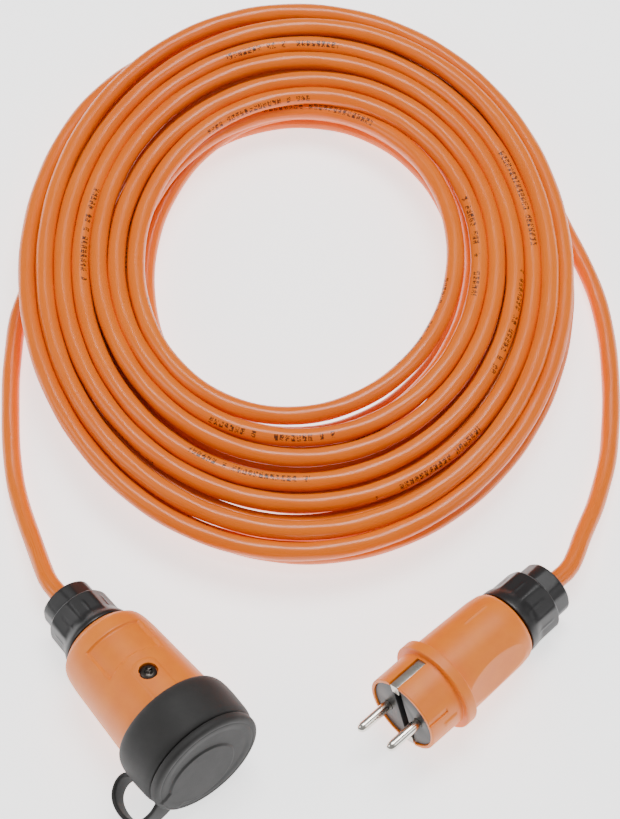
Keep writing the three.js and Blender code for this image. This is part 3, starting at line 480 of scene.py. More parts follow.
# %% Sheath material
def cable_material():
    made, tree = new_material("extruded_polyurethane_sheath")
    uv = add(tree, "ShaderNodeUVMap", uv_map="cable")
    split = add(tree, "ShaderNodeSeparateXYZ", {"Vector": uv.outputs["UV"]})
    place = add(tree, "ShaderNodeTexCoord").outputs["Object"]

    def maths(operation, a, b=0.0):
        return add(tree, "ShaderNodeMath", {0: a, 1: b}, operation=operation).outputs[0]

    round_m = math.pi * CORD_D
    turn, metres = split.outputs["X"], split.outputs["Y"]
    # distance from the print line, in metres round the sheath
    across = maths("MULTIPLY", maths("SUBTRACT", maths("FRACT", turn), 0.5), round_m)
    in_band = maths("LESS_THAN", maths("ABSOLUTE", across), 1.6 * MM)
    # groups of marks 60 mm long, repeated every 165 mm
    in_group = maths("LESS_THAN", maths("FRACT", maths("DIVIDE", metres, 165 * MM)), 0.36)
    cell = maths("DIVIDE", metres, 2.6 * MM)
    in_cell = maths("LESS_THAN", maths("FRACT", cell), 0.72)
    dot = add(tree, "ShaderNodeCombineXYZ", {
        "X": maths("FLOOR", maths("DIVIDE", metres, 0.5 * MM)),
        "Y": maths("FLOOR", maths("DIVIDE", across, 0.5 * MM))})
    inked = add(tree, "ShaderNodeTexWhiteNoise", {"Vector": dot.outputs[0]}, noise_dimensions="2D")
    inked = maths("GREATER_THAN", inked.outputs["Value"], 0.42)
    blank = add(tree, "ShaderNodeTexWhiteNoise", {"W": maths("FLOOR", cell)}, noise_dimensions="1D")
    blank = maths("GREATER_THAN", blank.outputs["Value"], 0.16)
    marks = maths("MULTIPLY", maths("MULTIPLY", in_band, in_group), maths("MULTIPLY", in_cell, inked))
    marks = maths("MULTIPLY", maths("MULTIPLY", marks, blank), 0.92)

    # colour drifts a little from batch to batch along the length
    drift = add(tree, "ShaderNodeTexNoise", {"Vector": place, "Scale": 14.0, "Detail": 3.0})
    tone = add(tree, "ShaderNodeValToRGB", {"Fac": drift.outputs["Fac"]})
    tone.color_ramp.elements[0].position = 0.3
    tone.color_ramp.elements[1].position = 0.7
    tone.color_ramp.elements[0].color = linear("#E66A00")
    tone.color_ramp.elements[1].color = linear("#EC7400")
    paint = add(tree, "ShaderNodeMix", {
        "Factor": marks, "A": tone.outputs["Color"], "B": linear("#3B1B0E")}, data_type="RGBA")
    # scuffs: long thin streaks along the cable, a millimetre wide
    streak_place = add(tree, "ShaderNodeCombineXYZ", {
        "X": maths("MULTIPLY", turn, round_m / MM), "Y": maths("MULTIPLY", metres, 60.0)})
    streaks = add(tree, "ShaderNodeTexNoise", {
        "Vector": streak_place.outputs[0], "Scale": 1.0, "Detail": 4.0})
    gloss = add(tree, "ShaderNodeMapRange", {
        "Value": streaks.outputs["Fac"], "From Min": 0.35, "From Max": 0.75, "To Min": 0.24, "To Max": 0.38})
    # the die leaves a faint unevenness of a few millimetres
    ripple = add(tree, "ShaderNodeTexNoise", {"Vector": place, "Scale": 1 / (4 * MM), "Detail": 2.0})
    bump = add(tree, "ShaderNodeBump", {
        "Height": ripple.outputs["Fac"], "Strength": 0.35, "Distance": 0.05 * MM})
    close_material(tree, add(tree, "ShaderNodeBsdfPrincipled", {
        "Base Color": paint.outputs["Result"], "Roughness": gloss.outputs["Result"],
        "Normal": bump.outputs["Normal"], "IOR": 1.49, "Specular IOR Level": 0.4,
        "Coat Weight": 0.1, "Coat Roughness": 0.12}))
    return made


SHEATH = cable_material()
cable = cable_tube("cable", cable_line, SHEATH)
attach(cable, "cord_set")
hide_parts("cord_coil", "coupling_lead", "plug_lead")
print("tube:", len(cable.data.polygons), "faces")

# %% [markdown]
# Moulded finishes
#
# Moulded and stamped surfaces differ in a few plain ways: how the colour drifts, how rough they are,
# how fine their grain is and how deep. One function turns those facts into nodes. The grain is a noise
# at its real size in millimetres, and a wider noise adds handling marks.

# %% Surface function
def surface(name, colours, roughness, grain_mm, depth_mm, metallic=0.0, patch_mm=9.0, wear=0.06, **extra):
    made, tree = new_material(name)
    place = add(tree, "ShaderNodeTexCoord").outputs["Object"]
    patch = add(tree, "ShaderNodeTexNoise", {
        "Vector": place, "Scale": 1 / (patch_mm * MM), "Detail": 4.0, "Roughness": 0.6})
    tone = add(tree, "ShaderNodeValToRGB", {"Fac": patch.outputs["Fac"]})
    for stop, position, colour in zip(tone.color_ramp.elements, (0.32, 0.68), colours):
        stop.position = position
        stop.color = linear(colour)
    grain = add(tree, "ShaderNodeTexNoise", {
        "Vector": place, "Scale": 1 / (grain_mm * MM), "Detail": 2.0, "Roughness": 0.55})
    scuff = add(tree, "ShaderNodeTexNoise", {
        "Vector": place, "Scale": 1 / (2.5 * patch_mm * MM), "Detail": 6.0, "Roughness": 0.75})
    gloss = add(tree, "ShaderNodeMapRange", {
        "Value": scuff.outputs["Fac"], "From Min": 0.3, "From Max": 0.7,
        "To Min": roughness - wear, "To Max": roughness + wear})
    bump = add(tree, "ShaderNodeBump", {
        "Height": grain.outputs["Fac"], "Strength": 0.6, "Distance": depth_mm * MM})
    close_material(tree, add(tree, "ShaderNodeBsdfPrincipled", {
        "Base Color": tone.outputs["Color"], "Roughness": gloss.outputs["Result"],
        "Normal": bump.outputs["Normal"], "Metallic": metallic, **extra}))
    return made


# %% [markdown]
# The finishes
#
# The shells are glass-filled polyamide with a spark-eroded satin grain, the nuts are the same plastic
# in black, and collar, lid and strap are one soft thermoplastic rubber that stays matt and holds a
# little dust. Pins and contacts are brass with bright nickel. The terminal screws are zinc-plated and
# the housing screw is blackened.

# %% Materials of the fittings
SHELL = surface("spark_eroded_orange_polyamide", ("#E87400", "#EE7E00"), 0.46, 0.5, 0.035, IOR=1.53)
NUT = surface("moulded_black_polyamide", ("#121112", "#191718"), 0.38, 0.6, 0.03, IOR=1.53)
RUBBER = surface("matt_thermoplastic_rubber", ("#151413", "#1C1A19"), 0.66, 0.7, 0.05, wear=0.05,
                 **{"Sheen Weight": 0.03, "Sheen Roughness": 0.6})
CARRIER = surface("moulded_black_urea_plastic", ("#0E0E0F", "#141415"), 0.42, 0.5, 0.02, IOR=1.55)
SEAL = surface("grey_sealing_rubber", ("#5E5E5C", "#71706D"), 0.75, 0.5, 0.04)
CLAMP = surface("natural_polyamide", ("#CFCABB", "#DCD8CC"), 0.45, 0.5, 0.02, IOR=1.53)
NICKEL = surface("bright_nickel_plated_brass", ("#D3CEC4", "#E2DED6"), 0.19, 0.9, 0.01, metallic=1.0,
                 patch_mm=4.0, wear=0.07)
SPRING = surface("nickel_plated_spring_strip", ("#BEB9AF", "#D0CCC4"), 0.30, 0.6, 0.01, metallic=1.0,
                 patch_mm=3.0)
ZINC = surface("zinc_plated_steel", ("#A9AEB1", "#BFC3C5"), 0.34, 0.4, 0.01, metallic=1.0, patch_mm=2.0)
DARK_STEEL = surface("blackened_steel", ("#3A3531", "#4E4843"), 0.30, 0.4, 0.01, metallic=0.8, patch_mm=2.0)
CORE_BROWN = surface("brown_pvc_insulation", ("#4A2C18", "#5C3820"), 0.38, 0.8, 0.02)
CORE_BLUE = surface("blue_pvc_insulation", ("#1E4E9C", "#285DB2"), 0.38, 0.8, 0.02)


def earth_core_material():
    """Green insulation with a yellow stripe on each side, as every earth core has."""
    made, tree = new_material("green_and_yellow_pvc_insulation")
    place = add(tree, "ShaderNodeTexCoord").outputs["Object"]
    stripe = add(tree, "ShaderNodeTexWave", {
        "Vector": place, "Scale": 1 / (12 * MM), "Distortion": 1.0}, bands_direction="DIAGONAL")
    tone = add(tree, "ShaderNodeValToRGB", {"Fac": stripe.outputs["Fac"]})
    tone.color_ramp.interpolation = "CONSTANT"
    tone.color_ramp.elements[0].color = linear("#2F7A34")
    tone.color_ramp.elements[1].position = 0.55
    tone.color_ramp.elements[1].color = linear("#D9C62A")
    grain = add(tree, "ShaderNodeTexNoise", {"Vector": place, "Scale": 1 / (0.8 * MM)})
    bump = add(tree, "ShaderNodeBump", {
        "Height": grain.outputs["Fac"], "Strength": 0.4, "Distance": 0.02 * MM})
    close_material(tree, add(tree, "ShaderNodeBsdfPrincipled", {
        "Base Color": tone.outputs["Color"], "Roughness": 0.38, "Normal": bump.outputs["Normal"]}))
    return made


CORE_EARTH = earth_core_material()
print("materials:", len(bpy.data.materials))

# %% [markdown]
# Turned shapes
#
# Nearly every moulding here is a body of revolution that has been flattened, hollowed or ribbed. So a
# piece is a closed profile of (x, radius, corner) that is carried round the fitting's axis on a fine
# grid, and a function of position then moves the outer skin in or out. Corners are blended in the
# profile itself, because a moulding has no sharp edge.

# %% Helpers for turned shapes
def softened(profile, steps=4):
    """Blend each corner of a closed profile of (x, radius, corner size)."""
    count = len(profile)
    out = []
    for i, (x, r, corner) in enumerate(profile):
        here = np.array([x, r], float)
        if corner <= 0:
            out.append(here)
            continue
        ends = []
        for j in (i - 1, (i + 1) % count):
            run = np.array(profile[j][:2], float) - here
            long = np.linalg.norm(run)
            ends.append(here + run / long * min(corner, 0.48 * long))
        for s in np.linspace(0, 1, steps + 1):
            out.append((1 - s) ** 2 * ends[0] + 2 * s * (1 - s) * here + s ** 2 * ends[1])
    return np.array(out)


def divided(points, step, low, high):
    """Add points to the stretches of a closed outline that lie between two x values."""
    out = []
    for a, b in zip(points, np.roll(points, -1, axis=0)):
        out.append(a)
        if a[1] > 0 and low <= a[0] <= high and low <= b[0] <= high:
            count = int(np.linalg.norm(b - a) // step)
            out += [a + (b - a) * k / (count + 1) for k in range(1, count + 1)]
    return np.array(out)


def mended(obj):
    """Merge doubled points and turn every face outwards."""
    work = bmesh.new()
    work.from_mesh(obj.data)
    bmesh.ops.remove_doubles(work, verts=work.verts, dist=0.002 * MM)
    bmesh.ops.dissolve_degenerate(work, edges=work.edges, dist=0.0005 * MM)
    bmesh.ops.recalc_face_normals(work, faces=work.faces)
    work.to_mesh(obj.data)
    work.free()
    obj.data.shade_smooth()
    obj.data.set_sharp_from_angle(angle=math.radians(40))
    return obj


def turned(name, fitting, profile, sides, material, skin=None, step=None, zone=(-1e3, 1e3)):
    """Carry a closed profile round the axis; skin(x, y, z, r) may give the outer radius anew."""
    points = softened(profile)
    if step:
        points = divided(points, step, *zone)
    angle = np.linspace(0, 2 * np.pi, sides, endpoint=False)
    x = np.repeat(points[:, :1], sides, axis=1)
    r = np.repeat(points[:, 1:], sides, axis=1)
    if skin is not None:
        r = skin(x, r * np.cos(angle), r * np.sin(angle), r)
    local = np.stack([x, r * np.cos(angle), r * np.sin(angle)], axis=2).reshape(-1, 3)
    faces = band_faces(len(points), sides, closed=True)
    return mended(object_of(name, laid(fitting, local), faces, material))


def hold(obj, body, slot, *nodes):
    """Attach a piece to the body it rides on and hide the CAD nodes that it stands for; slot is not used."""
    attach(obj, body)
    if nodes:
        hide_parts(*nodes)
    return obj


def applied(obj):
    """Turn an object's modifiers into its mesh."""
    bpy.context.view_layer.update()
    made = bpy.data.meshes.new_from_object(obj.evaluated_get(bpy.context.evaluated_depsgraph_get()))
    obj.modifiers.clear()
    obj.data = made
    return obj


def carve(obj, tool):
    """Cut one closed mesh from another and drop the tool."""
    cut = obj.modifiers.new("carve", "BOOLEAN")
    cut.object = tool
    cut.operation = "DIFFERENCE"
    cut.solver = "EXACT"
    applied(obj)
    bpy.data.objects.remove(tool)
    return mended(obj)


def brick(fitting, x0, x1, y0, y1, z0, z1):
    """A plain square tool in the fitting's own directions."""
    local = [(x, y, z) for x in (x0, x1) for y in (y0, y1) for z in (z0, z1)]
    faces = [(0, 1, 3, 2), (4, 6, 7, 5), (0, 4, 5, 1), (2, 3, 7, 6), (0, 2, 6, 4), (1, 5, 7, 3)]
    return mended(object_of("tool", laid(fitting, local), faces, None))


def step_up(value, edge, soft):
    """0 below the edge, 1 above it, with a soft ramp of the given width."""
    return ease((value - edge) / soft + 0.5)


print("turned shapes ready")


# %% [markdown]
# Gland nuts
#
# The nut screws onto the shell's neck and squeezes a ring and a seal onto the cable. It has two steps
# with flats for a spanner, six on the small step and eight on the large one, and flares to meet the
# shell. Each flat is where a prism cuts the round outline; a soft minimum of the two radii gives the
# flats their slightly blended edges.

# %% Gland nuts
NUT_SIDES = 168
NECK_CLEAR_R = 11.7
NUT_MOUTH_R = 5.4
NUT_WALL = 4.0


def prism_radius(y, z, flat_r, flats, turn):
    pitch = 2 * np.pi / flats
    angle = (np.arctan2(z, y) - turn + pitch / 2) % pitch - pitch / 2
    return flat_r / np.cos(angle)


def soft_least(a, b, blend):
    return -blend * np.logaddexp(-a / blend, -b / blend)


def gland_nut(name, fitting, long, rear_r, body_r, flare_r):
    tier, flare = long * 0.33, long * 0.82
    profile = [
        (0.0, NUT_MOUTH_R, 0.5), (0.0, rear_r - 0.2, 1.1), (tier, rear_r, 0.5),
        (tier + 0.1, body_r - 1.2, 0.25), (tier + 1.0, body_r, 0.8), (flare, body_r + 0.3, 3.0),
        (long - 1.6, flare_r, 0.8), (long, flare_r, 0.5), (long, NECK_CLEAR_R, 0.2),
        (NUT_WALL, NECK_CLEAR_R, 0.3), (NUT_WALL, NUT_MOUTH_R, 0.3),
    ]

    def skin(x, y, z, r):
        six = soft_least(r, prism_radius(y, z, rear_r - 0.75, 6, 0.0), 0.12)
        eight = soft_least(r, prism_radius(y, z, body_r - 0.85, 8, 0.31 + np.pi / 8), 0.12)
        fading = ease((x - flare + 3.0) / 5.0)
        eight = eight * (1 - fading) + r * fading
        outer = r > np.where(x <= tier, rear_r - 1.6, body_r - 1.6)
        shaped = np.where(x <= tier + 0.05, six, eight)
        # eight small grips run out of the large flats into the flare
        grip = np.cos(8 * (np.arctan2(z, y) - 0.31 - np.pi / 8)) > 0.965
        shaped = shaped + 0.18 * grip * ease((x - tier - 3) / 3) * (1 - fading)
        return np.where(outer & (r > NECK_CLEAR_R + 0.3) | outer & (x < tier), shaped, r)

    return turned(name, fitting, profile, NUT_SIDES, NUT, skin, 0.6, (0.4, long - 0.4))


coupling_nut = gland_nut("coupling_nut_visual", COUPLING, 26.7, 12.8, 15.6, 17.3)
hold(coupling_nut, "coupling_nut", "moulded_nut", "coupling_gland_nut")
plug_nut = gland_nut("plug_nut_visual", PLUG, 28.5, 13.4, 16.2, 16.9)
hold(plug_nut, "plug_nut", "moulded_nut", "plug_gland_nut")
print("nuts:", len(coupling_nut.data.polygons), "faces each")

# %% [markdown]
# Coupling shell
#
# The orange shell is one moulding: a neck for the nut, a sloping shoulder and a body that opens
# slightly towards the collar. The hand finds two pressed panels, one above and one below, and a low
# raised pad that runs from behind the housing screw to the collar. All of it is one fine grid whose
# radius is moved by soft steps, and the screw's round well is then cut with a boolean, because its
# wall is steep.

# %% Coupling shell
SHELL_SIDES = 288
PANEL_DEPTH = 1.35
PAD_RISE = 0.45
COUPLING_SCREW_X = 67.0
coupling_profile = [
    (9.5, 9.2, 0.3), (9.5, 11.4, 0.5), (27.0, 11.4, 0.2), (27.0, 17.0, 0.4), (28.2, 18.6, 0.8),
    (30.7, 21.3, 1.0), (33.7, 22.2, 1.5), (39.7, 22.9, 2.0), (80.3, 25.0, 0.2), (102.9, 25.0, 0.5),
    (102.9, 22.3, 0.2), (57.9, 22.3, 0.2), (57.9, 19.8, 0.2), (36.7, 18.5, 2.0), (27.7, 12.0, 1.0),
    (27.7, 6.2, 0.3), (20.3, 6.2, 0.2), (20.3, 9.2, 0.2),
]


def coupling_skin(x, y, z, r):
    outer = r > 20.0 + (x > 57) * 2.5
    back = step_up(x, 39.0, 1.0)
    front = 1 - step_up(x - 2.4 * (y / 14.2) ** 2, 55.0, 0.7)
    sides = 1 - step_up(np.abs(y), 14.2, 0.9)
    panel = back * front * sides * PANEL_DEPTH
    along = 1 - step_up(COUPLING_SCREW_X - x, 6.8 - 0.06 * y ** 2, 0.7)
    pad = along * (1 - step_up(np.abs(y), 6.0, 0.7)) * PAD_RISE * (z > 0) * (x < 80.2)
    return np.where(outer, r - panel + pad, r)


coupling_shell = turned("coupling_shell_visual", COUPLING, coupling_profile, SHELL_SIDES, SHELL,
                        coupling_skin, 0.55, (36.5, 80.4))


def upright_rod(fitting, x, y, z0, z1, radius, sides=64):
    """A plain round tool that stands on the fitting's side."""
    angle = np.linspace(0, 2 * np.pi, sides, endpoint=False)
    ring = np.column_stack([x + radius * np.cos(angle), y + radius * np.sin(angle)])
    local = np.vstack([np.column_stack([ring, np.full(sides, z)]) for z in (z0, z1)])
    faces = band_faces(2, sides)
    faces += [tuple(range(sides))[::-1], tuple(range(sides, 2 * sides))]
    return mended(object_of("tool", laid(fitting, local), faces, None))


carve(coupling_shell, upright_rod(COUPLING, COUPLING_SCREW_X, 0, 22.1, 30.0, 4.4))
carve(coupling_shell, upright_rod(COUPLING, COUPLING_SCREW_X, 0, 10.0, 30.0, 2.0, 32))
hold(coupling_shell, "cord_set", "moulded_shell", "coupling_housing")
print("coupling shell:", len(coupling_shell.data.polygons), "faces")

# %% [markdown]
# Collar, lid and strap
#
# A soft rubber hood seals the socket against splashing water. Its collar is stretched over the
# barrel, the lid closes the mouth, and one strap joins them in a loop at the side. The lid is a
# turned disc whose front face carries a raised pad that runs out towards the strap, and a fine ring
# near the rim.

# %% Collar and lid
RUBBER_SIDES = 240
STRAP_ANGLE = math.radians(30)
STRAP_OUT = np.array([0.0, -math.cos(STRAP_ANGLE), -math.sin(STRAP_ANGLE)])
STRAP_ACROSS = np.array([0.0, math.sin(STRAP_ANGLE), -math.cos(STRAP_ANGLE)])
collar = turned("collar_visual", COUPLING, [
    (80.3, 25.25, 0.1), (80.25, 26.2, 0.5), (81.4, 27.9, 1.3), (84.4, 29.0, 2.5), (90.5, 29.4, 5.0),
    (102.1, 28.9, 2.0), (104.4, 27.7, 0.9), (104.4, 21.4, 0.4), (103.2, 21.4, 0.1), (103.2, 25.25, 0.1),
], RUBBER_SIDES, RUBBER)
hold(collar, "cord_set", "rubber_collar", "coupling_collar")

LID_BACK, LID_FRONT, LID_R = 104.7, 109.0, 28.0
PLUG_RING_BACK = 102.5
PAD_R, PAD_Y, PAD_Z = 17.5, -3.0, -4.0


def lid():
    rings = [(LID_BACK, 0.0), (LID_BACK, 16.8), (PLUG_RING_BACK, 16.9), (PLUG_RING_BACK, 18.7),
             (LID_BACK, 19.0), (LID_BACK, LID_R - 0.7), (LID_BACK + 0.25, LID_R - 0.2),
             (LID_BACK + 0.7, LID_R),
             (LID_FRONT - 2.0, LID_R), (LID_FRONT - 1.2, LID_R - 0.15), (LID_FRONT - 0.6, LID_R - 0.6),
             (LID_FRONT - 0.2, LID_R - 1.3), (LID_FRONT, LID_R - 2.2)]
    rings += [(LID_FRONT, r) for r in np.linspace(LID_R - 2.5, 0, 74)]
    rings = np.array(rings)
    angle = np.linspace(0, 2 * np.pi, RUBBER_SIDES, endpoint=False)
    x = np.repeat(rings[:, :1], RUBBER_SIDES, axis=1)
    r = np.repeat(rings[:, 1:], RUBBER_SIDES, axis=1)
    y, z = r * np.cos(angle), r * np.sin(angle)
    front = x >= LID_FRONT - 0.01
    # the raised pad: a disc, with a tongue towards the strap
    disc = PAD_R - np.hypot(y - PAD_Y, z - PAD_Z)
    out = y * STRAP_OUT[1] + z * STRAP_OUT[2]
    across = np.abs(y * STRAP_ACROSS[1] + z * STRAP_ACROSS[2])
    tongue = np.minimum(8.0 - across, out)
    rise = 0.8 * step_up(np.maximum(disc, tongue), 0.2, 1.0)
    ring_line = 0.22 * np.exp(-((r - 25.0) / 0.35) ** 2)
    dish = 0.5 * ease((23.5 - r) / 3.0) * 0.6
    x = x + front * (rise - ring_line - dish)
    local = np.stack([x, y, z], axis=2).reshape(-1, 3)
    faces = band_faces(len(rings), RUBBER_SIDES)
    return mended(object_of("lid_visual", laid(COUPLING, local), faces, RUBBER))


socket_lid = lid()
hold(socket_lid, "lid", "rubber_collar", "socket_lid")
print("collar and lid:", len(collar.data.polygons), len(socket_lid.data.polygons), "faces")

# %% [markdown]
# Strap
#
# The strap is a flat ribbon along one smooth line in the plane of its loop: how far along the fitting
# and how far out from the axis. It widens at both ends, where it runs into the collar and the lid. It
# is the one piece that bends; here it is baked where it lies and rides on no body.

# %% Strap
STRAP_THICK = 2.2
STRAP_LINE = np.array([
    [87.5, 28.0], [85.2, 29.8], [84.4, 32.5], [84.9, 35.8], [87.0, 39.3], [90.5, 41.7], [95.2, 42.8],
    [99.8, 42.6], [103.6, 41.0], [106.3, 37.8], [107.4, 33.8], [107.5, 30.0], [107.0, 26.4],
])


def strap():
    flat = np.column_stack([STRAP_LINE, np.zeros(len(STRAP_LINE))]) * MM
    line, _ = smooth_line(flat, 0.5 * MM)
    line = line[:, :2] / MM
    tangent = np.gradient(line, axis=0)
    tangent /= np.linalg.norm(tangent, axis=1)[:, None]
    normal = np.column_stack([-tangent[:, 1], tangent[:, 0]])
    share = np.linspace(-1, 1, len(line))
    half_wide = 4.5 + 2.6 * np.abs(share) ** 3.0
    half_thick = STRAP_THICK / 2
    # a flat section with rounded edges
    around = np.linspace(0, 2 * np.pi, 28, endpoint=False)
    round_w = np.sign(np.cos(around)) * np.abs(np.cos(around)) ** 0.35
    round_t = np.sign(np.sin(around)) * np.abs(np.sin(around)) ** 0.55
    vertices = []
    for point, across, wide in zip(line, normal, half_wide):
        plane = point[None, :] + round_t[:, None] * half_thick * across[None, :]
        local = (plane[:, :1] * [[1.0, 0, 0]] + plane[:, 1:] * STRAP_OUT[None, :]
                 + (round_w * wide)[:, None] * STRAP_ACROSS[None, :])
        vertices.append(local)
    sides, count = len(around), len(line)
    faces = band_faces(count, sides)
    faces += [tuple(range(sides)), tuple(range((count - 1) * sides, count * sides))]
    return mended(object_of("strap_visual", laid(COUPLING, np.vstack(vertices)), faces, RUBBER))


tether = strap()
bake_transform(tether)
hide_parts("strap_collar_half", "strap_lid_half")
print("strap:", len(tether.data.polygons), "faces")

# %% [markdown]
# Plug shell
#
# The plug's grip is a round shell with a hollow on each side for finger and thumb. Each hollow is
# where a large cylinder, lying across the grip, cuts the skin, so its outline is a crisp scallop. A
# flange stops the hand before the nose. The nose carries two slots for the earth spring, a groove for
# the guide on either side and one short rib.

# %% Plug shell
HOLLOW_R = 110.0
HOLLOW_X = 50.0
HOLLOW_FLOOR = 17.4
CREASE_RISE = 0.45
plug_profile = [
    (9.5, 9.2, 0.3), (9.5, 11.4, 0.5), (28.8, 11.4, 0.2), (28.8, 15.6, 0.3), (29.6, 17.0, 0.5),
    (31.4, 18.0, 1.0), (37.0, 18.8, 2.0), (71.6, 19.8, 0.4), (71.6, 22.6, 0.7), (77.0, 22.6, 0.7),
    (77.0, 19.3, 0.3), (96.5, 19.3, 0.6), (96.5, 17.6, 0.25), (63.1, 17.6, 0.2), (63.1, 14.5, 0.3),
    (40.0, 14.3, 1.0), (34.0, 11.0, 1.0), (34.0, 6.2, 0.3), (20.3, 6.2, 0.2), (20.3, 9.2, 0.2),
]


def plug_skin(x, y, z, r):
    grip = (r > 17.9) & (x > 34.0) & (x < 71.5)
    hollow = HOLLOW_FLOOR + HOLLOW_R - np.sqrt(HOLLOW_R ** 2 - (x - HOLLOW_X) ** 2)
    scooped = np.where(grip, np.minimum(r, hollow * r / np.maximum(np.abs(y), 1e-6)), r)
    # a short raised line on the crown, where the two halves of the mould meet
    run = step_up(x, 37.0, 2.0) * (1 - step_up(x, 51.0, 3.0))
    crease = CREASE_RISE * run * np.exp(-(y / 0.7) ** 2) * grip * (z > 0)
    # the short rib on the nose
    rib = step_up(x, 81.0, 0.5) * (1 - step_up(x, 88.5, 0.5))
    rib = rib * step_up(z, -3.4, 0.5) * (1 - step_up(z, -0.4, 0.5)) * (y > 0) * (r > 18.9)
    return scooped + crease + 0.55 * rib * (x > 78)


plug_shell = turned("plug_shell_visual", PLUG, plug_profile, SHELL_SIDES, SHELL,
                    plug_skin, 0.5, (34.5, 96.0))
EARTH_SLOT_HALF = 2.8
carve(plug_shell, brick(PLUG, 78.5, 98.0, -EARTH_SLOT_HALF, EARTH_SLOT_HALF, -30.0, 30.0))
carve(plug_shell, brick(PLUG, 62.3, 79.0, -EARTH_SLOT_HALF, EARTH_SLOT_HALF, -18.7, 18.7))
for low_y, high_y in ((18.4, 22.0), (-22.0, -18.4)):
    carve(plug_shell, brick(PLUG, 85.0, 98.0, low_y, high_y, 3.5, 6.5))
hold(plug_shell, "cord_set", "moulded_shell", "plug_housing")
print("plug shell:", len(plug_shell.data.polygons), "faces")

# %% [markdown]
# Pins
#
# Each pin is turned from brass rod and nickel-plated. It has a thick drilled shank inside the plug,
# where the core is clamped, and a rounded tip that finds the socket's hole.

# %% Pins
PIN_OFFSET = 9.5
PIN_SIDES = 48
pin_profile = [
    (66.1, 1.6, 0.15), (66.1, 3.7, 0.4), (81.1, 3.7, 0.4), (81.1, 2.4, 0.1), (112.4, 2.4, 1.2),
    (114.0, 1.7, 0.7), (114.7, 0.7, 0.3), (114.75, 0.0, 0.0), (73.6, 0.0, 0.0), (73.6, 1.6, 0.1),
]


def beside(fitting, y):
    """The same fitting frame, moved sideways to a pin's own axis."""
    return fitting[0], laid(fitting, [[0.0, y, 0.0]])[0]


for side, label in ((1, "left"), (-1, "right")):
    pin = turned(f"plug_pin_{label}_visual", beside(PLUG, side * PIN_OFFSET), pin_profile, PIN_SIDES, NICKEL)
    carve(pin, upright_rod(PLUG, 70.1, side * PIN_OFFSET, 0.5, 6.0, 1.55, 32))
    hold(pin, "cord_set", "nickel_brass", f"plug_pin_{label}")
print("pins:", len(pin.data.polygons), "faces each")

# %% [markdown]
# Carriers, straps and screws
#
# The contact carriers, the bent earth springs and the housing screw are already right in the CAD, but
# its edges are perfectly sharp, and no real edge is. A copy of the CAD mesh has its flat facets joined
# and every sharp edge rolled over by a tenth of a millimetre, and it stands for the node.

# %% Refine the small pieces
ROLLED_EDGE = 0.12


def refined(node, material, slot, edge_mm=ROLLED_EDGE):
    source = bpy.data.objects[node]
    work = bmesh.new()
    work.from_mesh(source.data)
    work.transform(source.matrix_world)
    bmesh.ops.remove_doubles(work, verts=work.verts, dist=0.002 * MM)
    bmesh.ops.dissolve_limit(work, angle_limit=math.radians(2), verts=work.verts, edges=work.edges)
    sharp = [e for e in work.edges if len(e.link_faces) == 2 and e.calc_face_angle(0.0) > math.radians(32)]
    bmesh.ops.bevel(work, geom=sharp, offset=edge_mm * MM, segments=2, profile=0.5, affect="EDGES",
                    clamp_overlap=True)
    bmesh.ops.triangulate(work, faces=[f for f in work.faces if len(f.verts) > 4])
    bmesh.ops.recalc_face_normals(work, faces=work.faces)
    mesh = bpy.data.meshes.new(node + "_visual")
    work.to_mesh(mesh)
    open_edges = sum(len(e.link_faces) != 2 for e in work.edges)
    work.free()
    mesh.materials.clear()
    mesh.materials.append(material)
    mesh.shade_smooth()
    mesh.set_sharp_from_angle(angle=math.radians(35))
    hold(put(mesh.name, mesh), "cord_set", slot, node)
    print(node, len(mesh.polygons), "faces, open edges", open_edges)


refined("plug_contact_carrier", CARRIER, "contact_carrier", 0.2)
refined("coupling_contact_carrier", CARRIER, "contact_carrier", 0.2)
refined("coupling_recess_wall", CARRIER, "contact_carrier", 0.2)
refined("plug_earth_strap", SPRING, "spring_strip")
refined("coupling_earth_strap", SPRING, "spring_strip")
refined("coupling_housing_screw", DARK_STEEL, "dark_screw", 0.1)

# %% [markdown]
# Clamping rings
#
# Under each nut sits a ring with a crown of springy fingers. The nut presses them onto the cable. One
# finger is modelled, and Geometry Nodes repeats it round the axis: it makes as many points as there
# are fingers, turns an instance on each and joins them to one mesh.

# %% Clamping rings
FINGERS = 12
FINGER_SHARE = 0.78


def finger_tree():
    tree = bpy.data.node_groups.new("fingers_round_an_axis", "GeometryNodeTree")
    face = tree.interface
    face.new_socket("Geometry", in_out="INPUT", socket_type="NodeSocketGeometry")
    sockets = {name: face.new_socket(name, in_out="INPUT", socket_type=kind).identifier for name, kind in (
        ("Count", "NodeSocketInt"), ("Axis", "NodeSocketVector"), ("Middle", "NodeSocketVector"),
        ("Material", "NodeSocketMaterial"))}
    face.new_socket("Geometry", in_out="OUTPUT", socket_type="NodeSocketGeometry")
    given = add(tree, "NodeGroupInput").outputs
    points = add(tree, "GeometryNodePoints", {"Count": given["Count"], "Position": given["Middle"]})
    step = add(tree, "ShaderNodeMath", {0: 2 * math.pi, 1: given["Count"]}, operation="DIVIDE")
    index = add(tree, "GeometryNodeInputIndex")
    angle = add(tree, "ShaderNodeMath", {0: index.outputs[0], 1: step.outputs[0]}, operation="MULTIPLY")
    turn = add(tree, "FunctionNodeAxisAngleToRotation", {"Axis": given["Axis"], "Angle": angle.outputs[0]})
    copies = add(tree, "GeometryNodeInstanceOnPoints", {
        "Points": points.outputs[0], "Instance": given["Geometry"], "Rotation": turn.outputs[0]})
    solid = add(tree, "GeometryNodeRealizeInstances", {"Geometry": copies.outputs[0]})
    finish = add(tree, "GeometryNodeSetMaterial", {
        "Geometry": solid.outputs[0], "Material": given["Material"]})
    add(tree, "NodeGroupOutput", {"Geometry": finish.outputs[0]})
    return tree, sockets


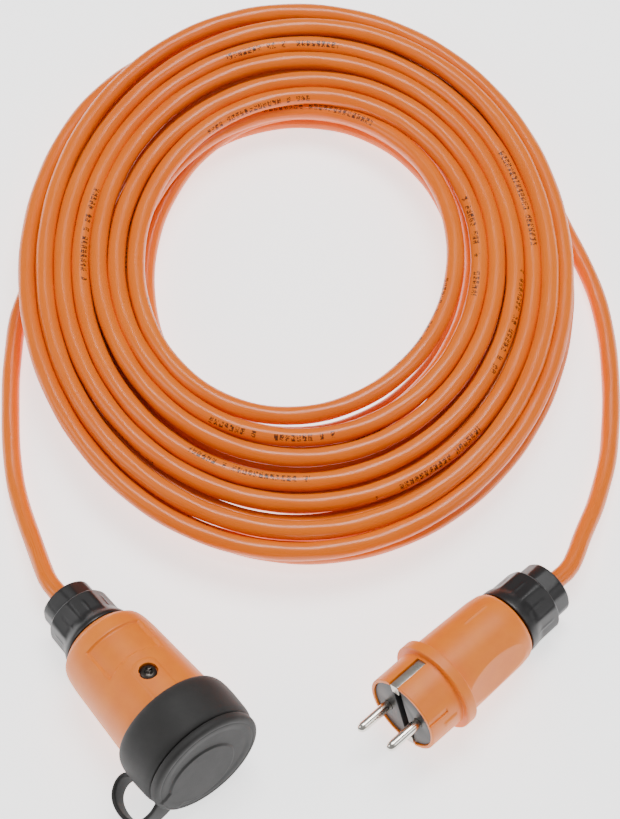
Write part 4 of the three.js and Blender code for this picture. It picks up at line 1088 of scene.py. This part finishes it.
FINGER_TREE, FINGER_SOCKETS = finger_tree()


def clamping_ring(name, fitting, body, node):
    hoop = turned(name + "_hoop", fitting, [
        (4.4, 5.4, 0.2), (4.4, 10.8, 0.3), (6.0, 10.8, 0.2), (6.0, 5.4, 0.2)], 96, CLAMP)
    hold(hoop, body, "clamp_plastic", node)
    axes, middle = fitting
    half = math.pi / FINGERS * FINGER_SHARE
    outline = softened([
        (5.9, 5.4, 0.1), (5.9, 10.6, 0.1), (6.7, 10.7, 0.4), (9.2, 8.8, 0.3), (9.2, 5.4, 0.3)])
    spokes = np.linspace(-half, half, 7)
    local = np.array([(x, r * math.cos(a), r * math.sin(a)) for a in spokes for x, r in outline])
    count = len(outline)
    faces = band_faces(len(spokes), count)
    faces += [tuple(range(count)), tuple(range((len(spokes) - 1) * count, len(spokes) * count))]
    finger = mended(object_of(name + "_fingers", local @ axes.T * MM, faces, CLAMP))
    repeat = finger.modifiers.new("fingers", "NODES")
    repeat.node_group = FINGER_TREE
    repeat[FINGER_SOCKETS["Count"]] = FINGERS
    repeat[FINGER_SOCKETS["Axis"]] = [float(v) for v in axes[:, 0]]
    repeat[FINGER_SOCKETS["Middle"]] = [float(v) for v in middle]
    repeat[FINGER_SOCKETS["Material"]] = CLAMP
    hold(applied(finger), body, "clamp_plastic")
    print(name, len(finger.data.polygons), "faces")


clamping_ring("coupling_ring", COUPLING, "coupling_ring", "coupling_clamping_ring")
clamping_ring("plug_ring", PLUG, "plug_ring", "plug_clamping_ring")

# %% [markdown]
# Pieces kept from the CAD
#
# Contacts, terminal screws, seals and cores are hidden inside the closed fittings. Their CAD meshes
# are used as they are, each with its own finish.

# %% Finishes on the kept pieces
KEPT = {
    "contact_upper": NICKEL, "contact_lower": NICKEL, "earth_screw": ZINC,
    "terminal_screw_upper": ZINC, "terminal_screw_lower": ZINC,
    "terminal_screw_left": ZINC, "terminal_screw_right": ZINC, "gland_seal": SEAL,
    "core_brown": CORE_BROWN, "core_blue": CORE_BLUE, "core_earth": CORE_EARTH,
}
kept_nodes = [(f"{fitting}_{part}", material) for fitting in ("coupling", "plug")
              for part, material in KEPT.items() if f"{fitting}_{part}" in bpy.data.objects]
for node, material in kept_nodes:
    for place in bpy.data.objects[node].material_slots:
        place.material = material
print("kept pieces:", len(kept_nodes))
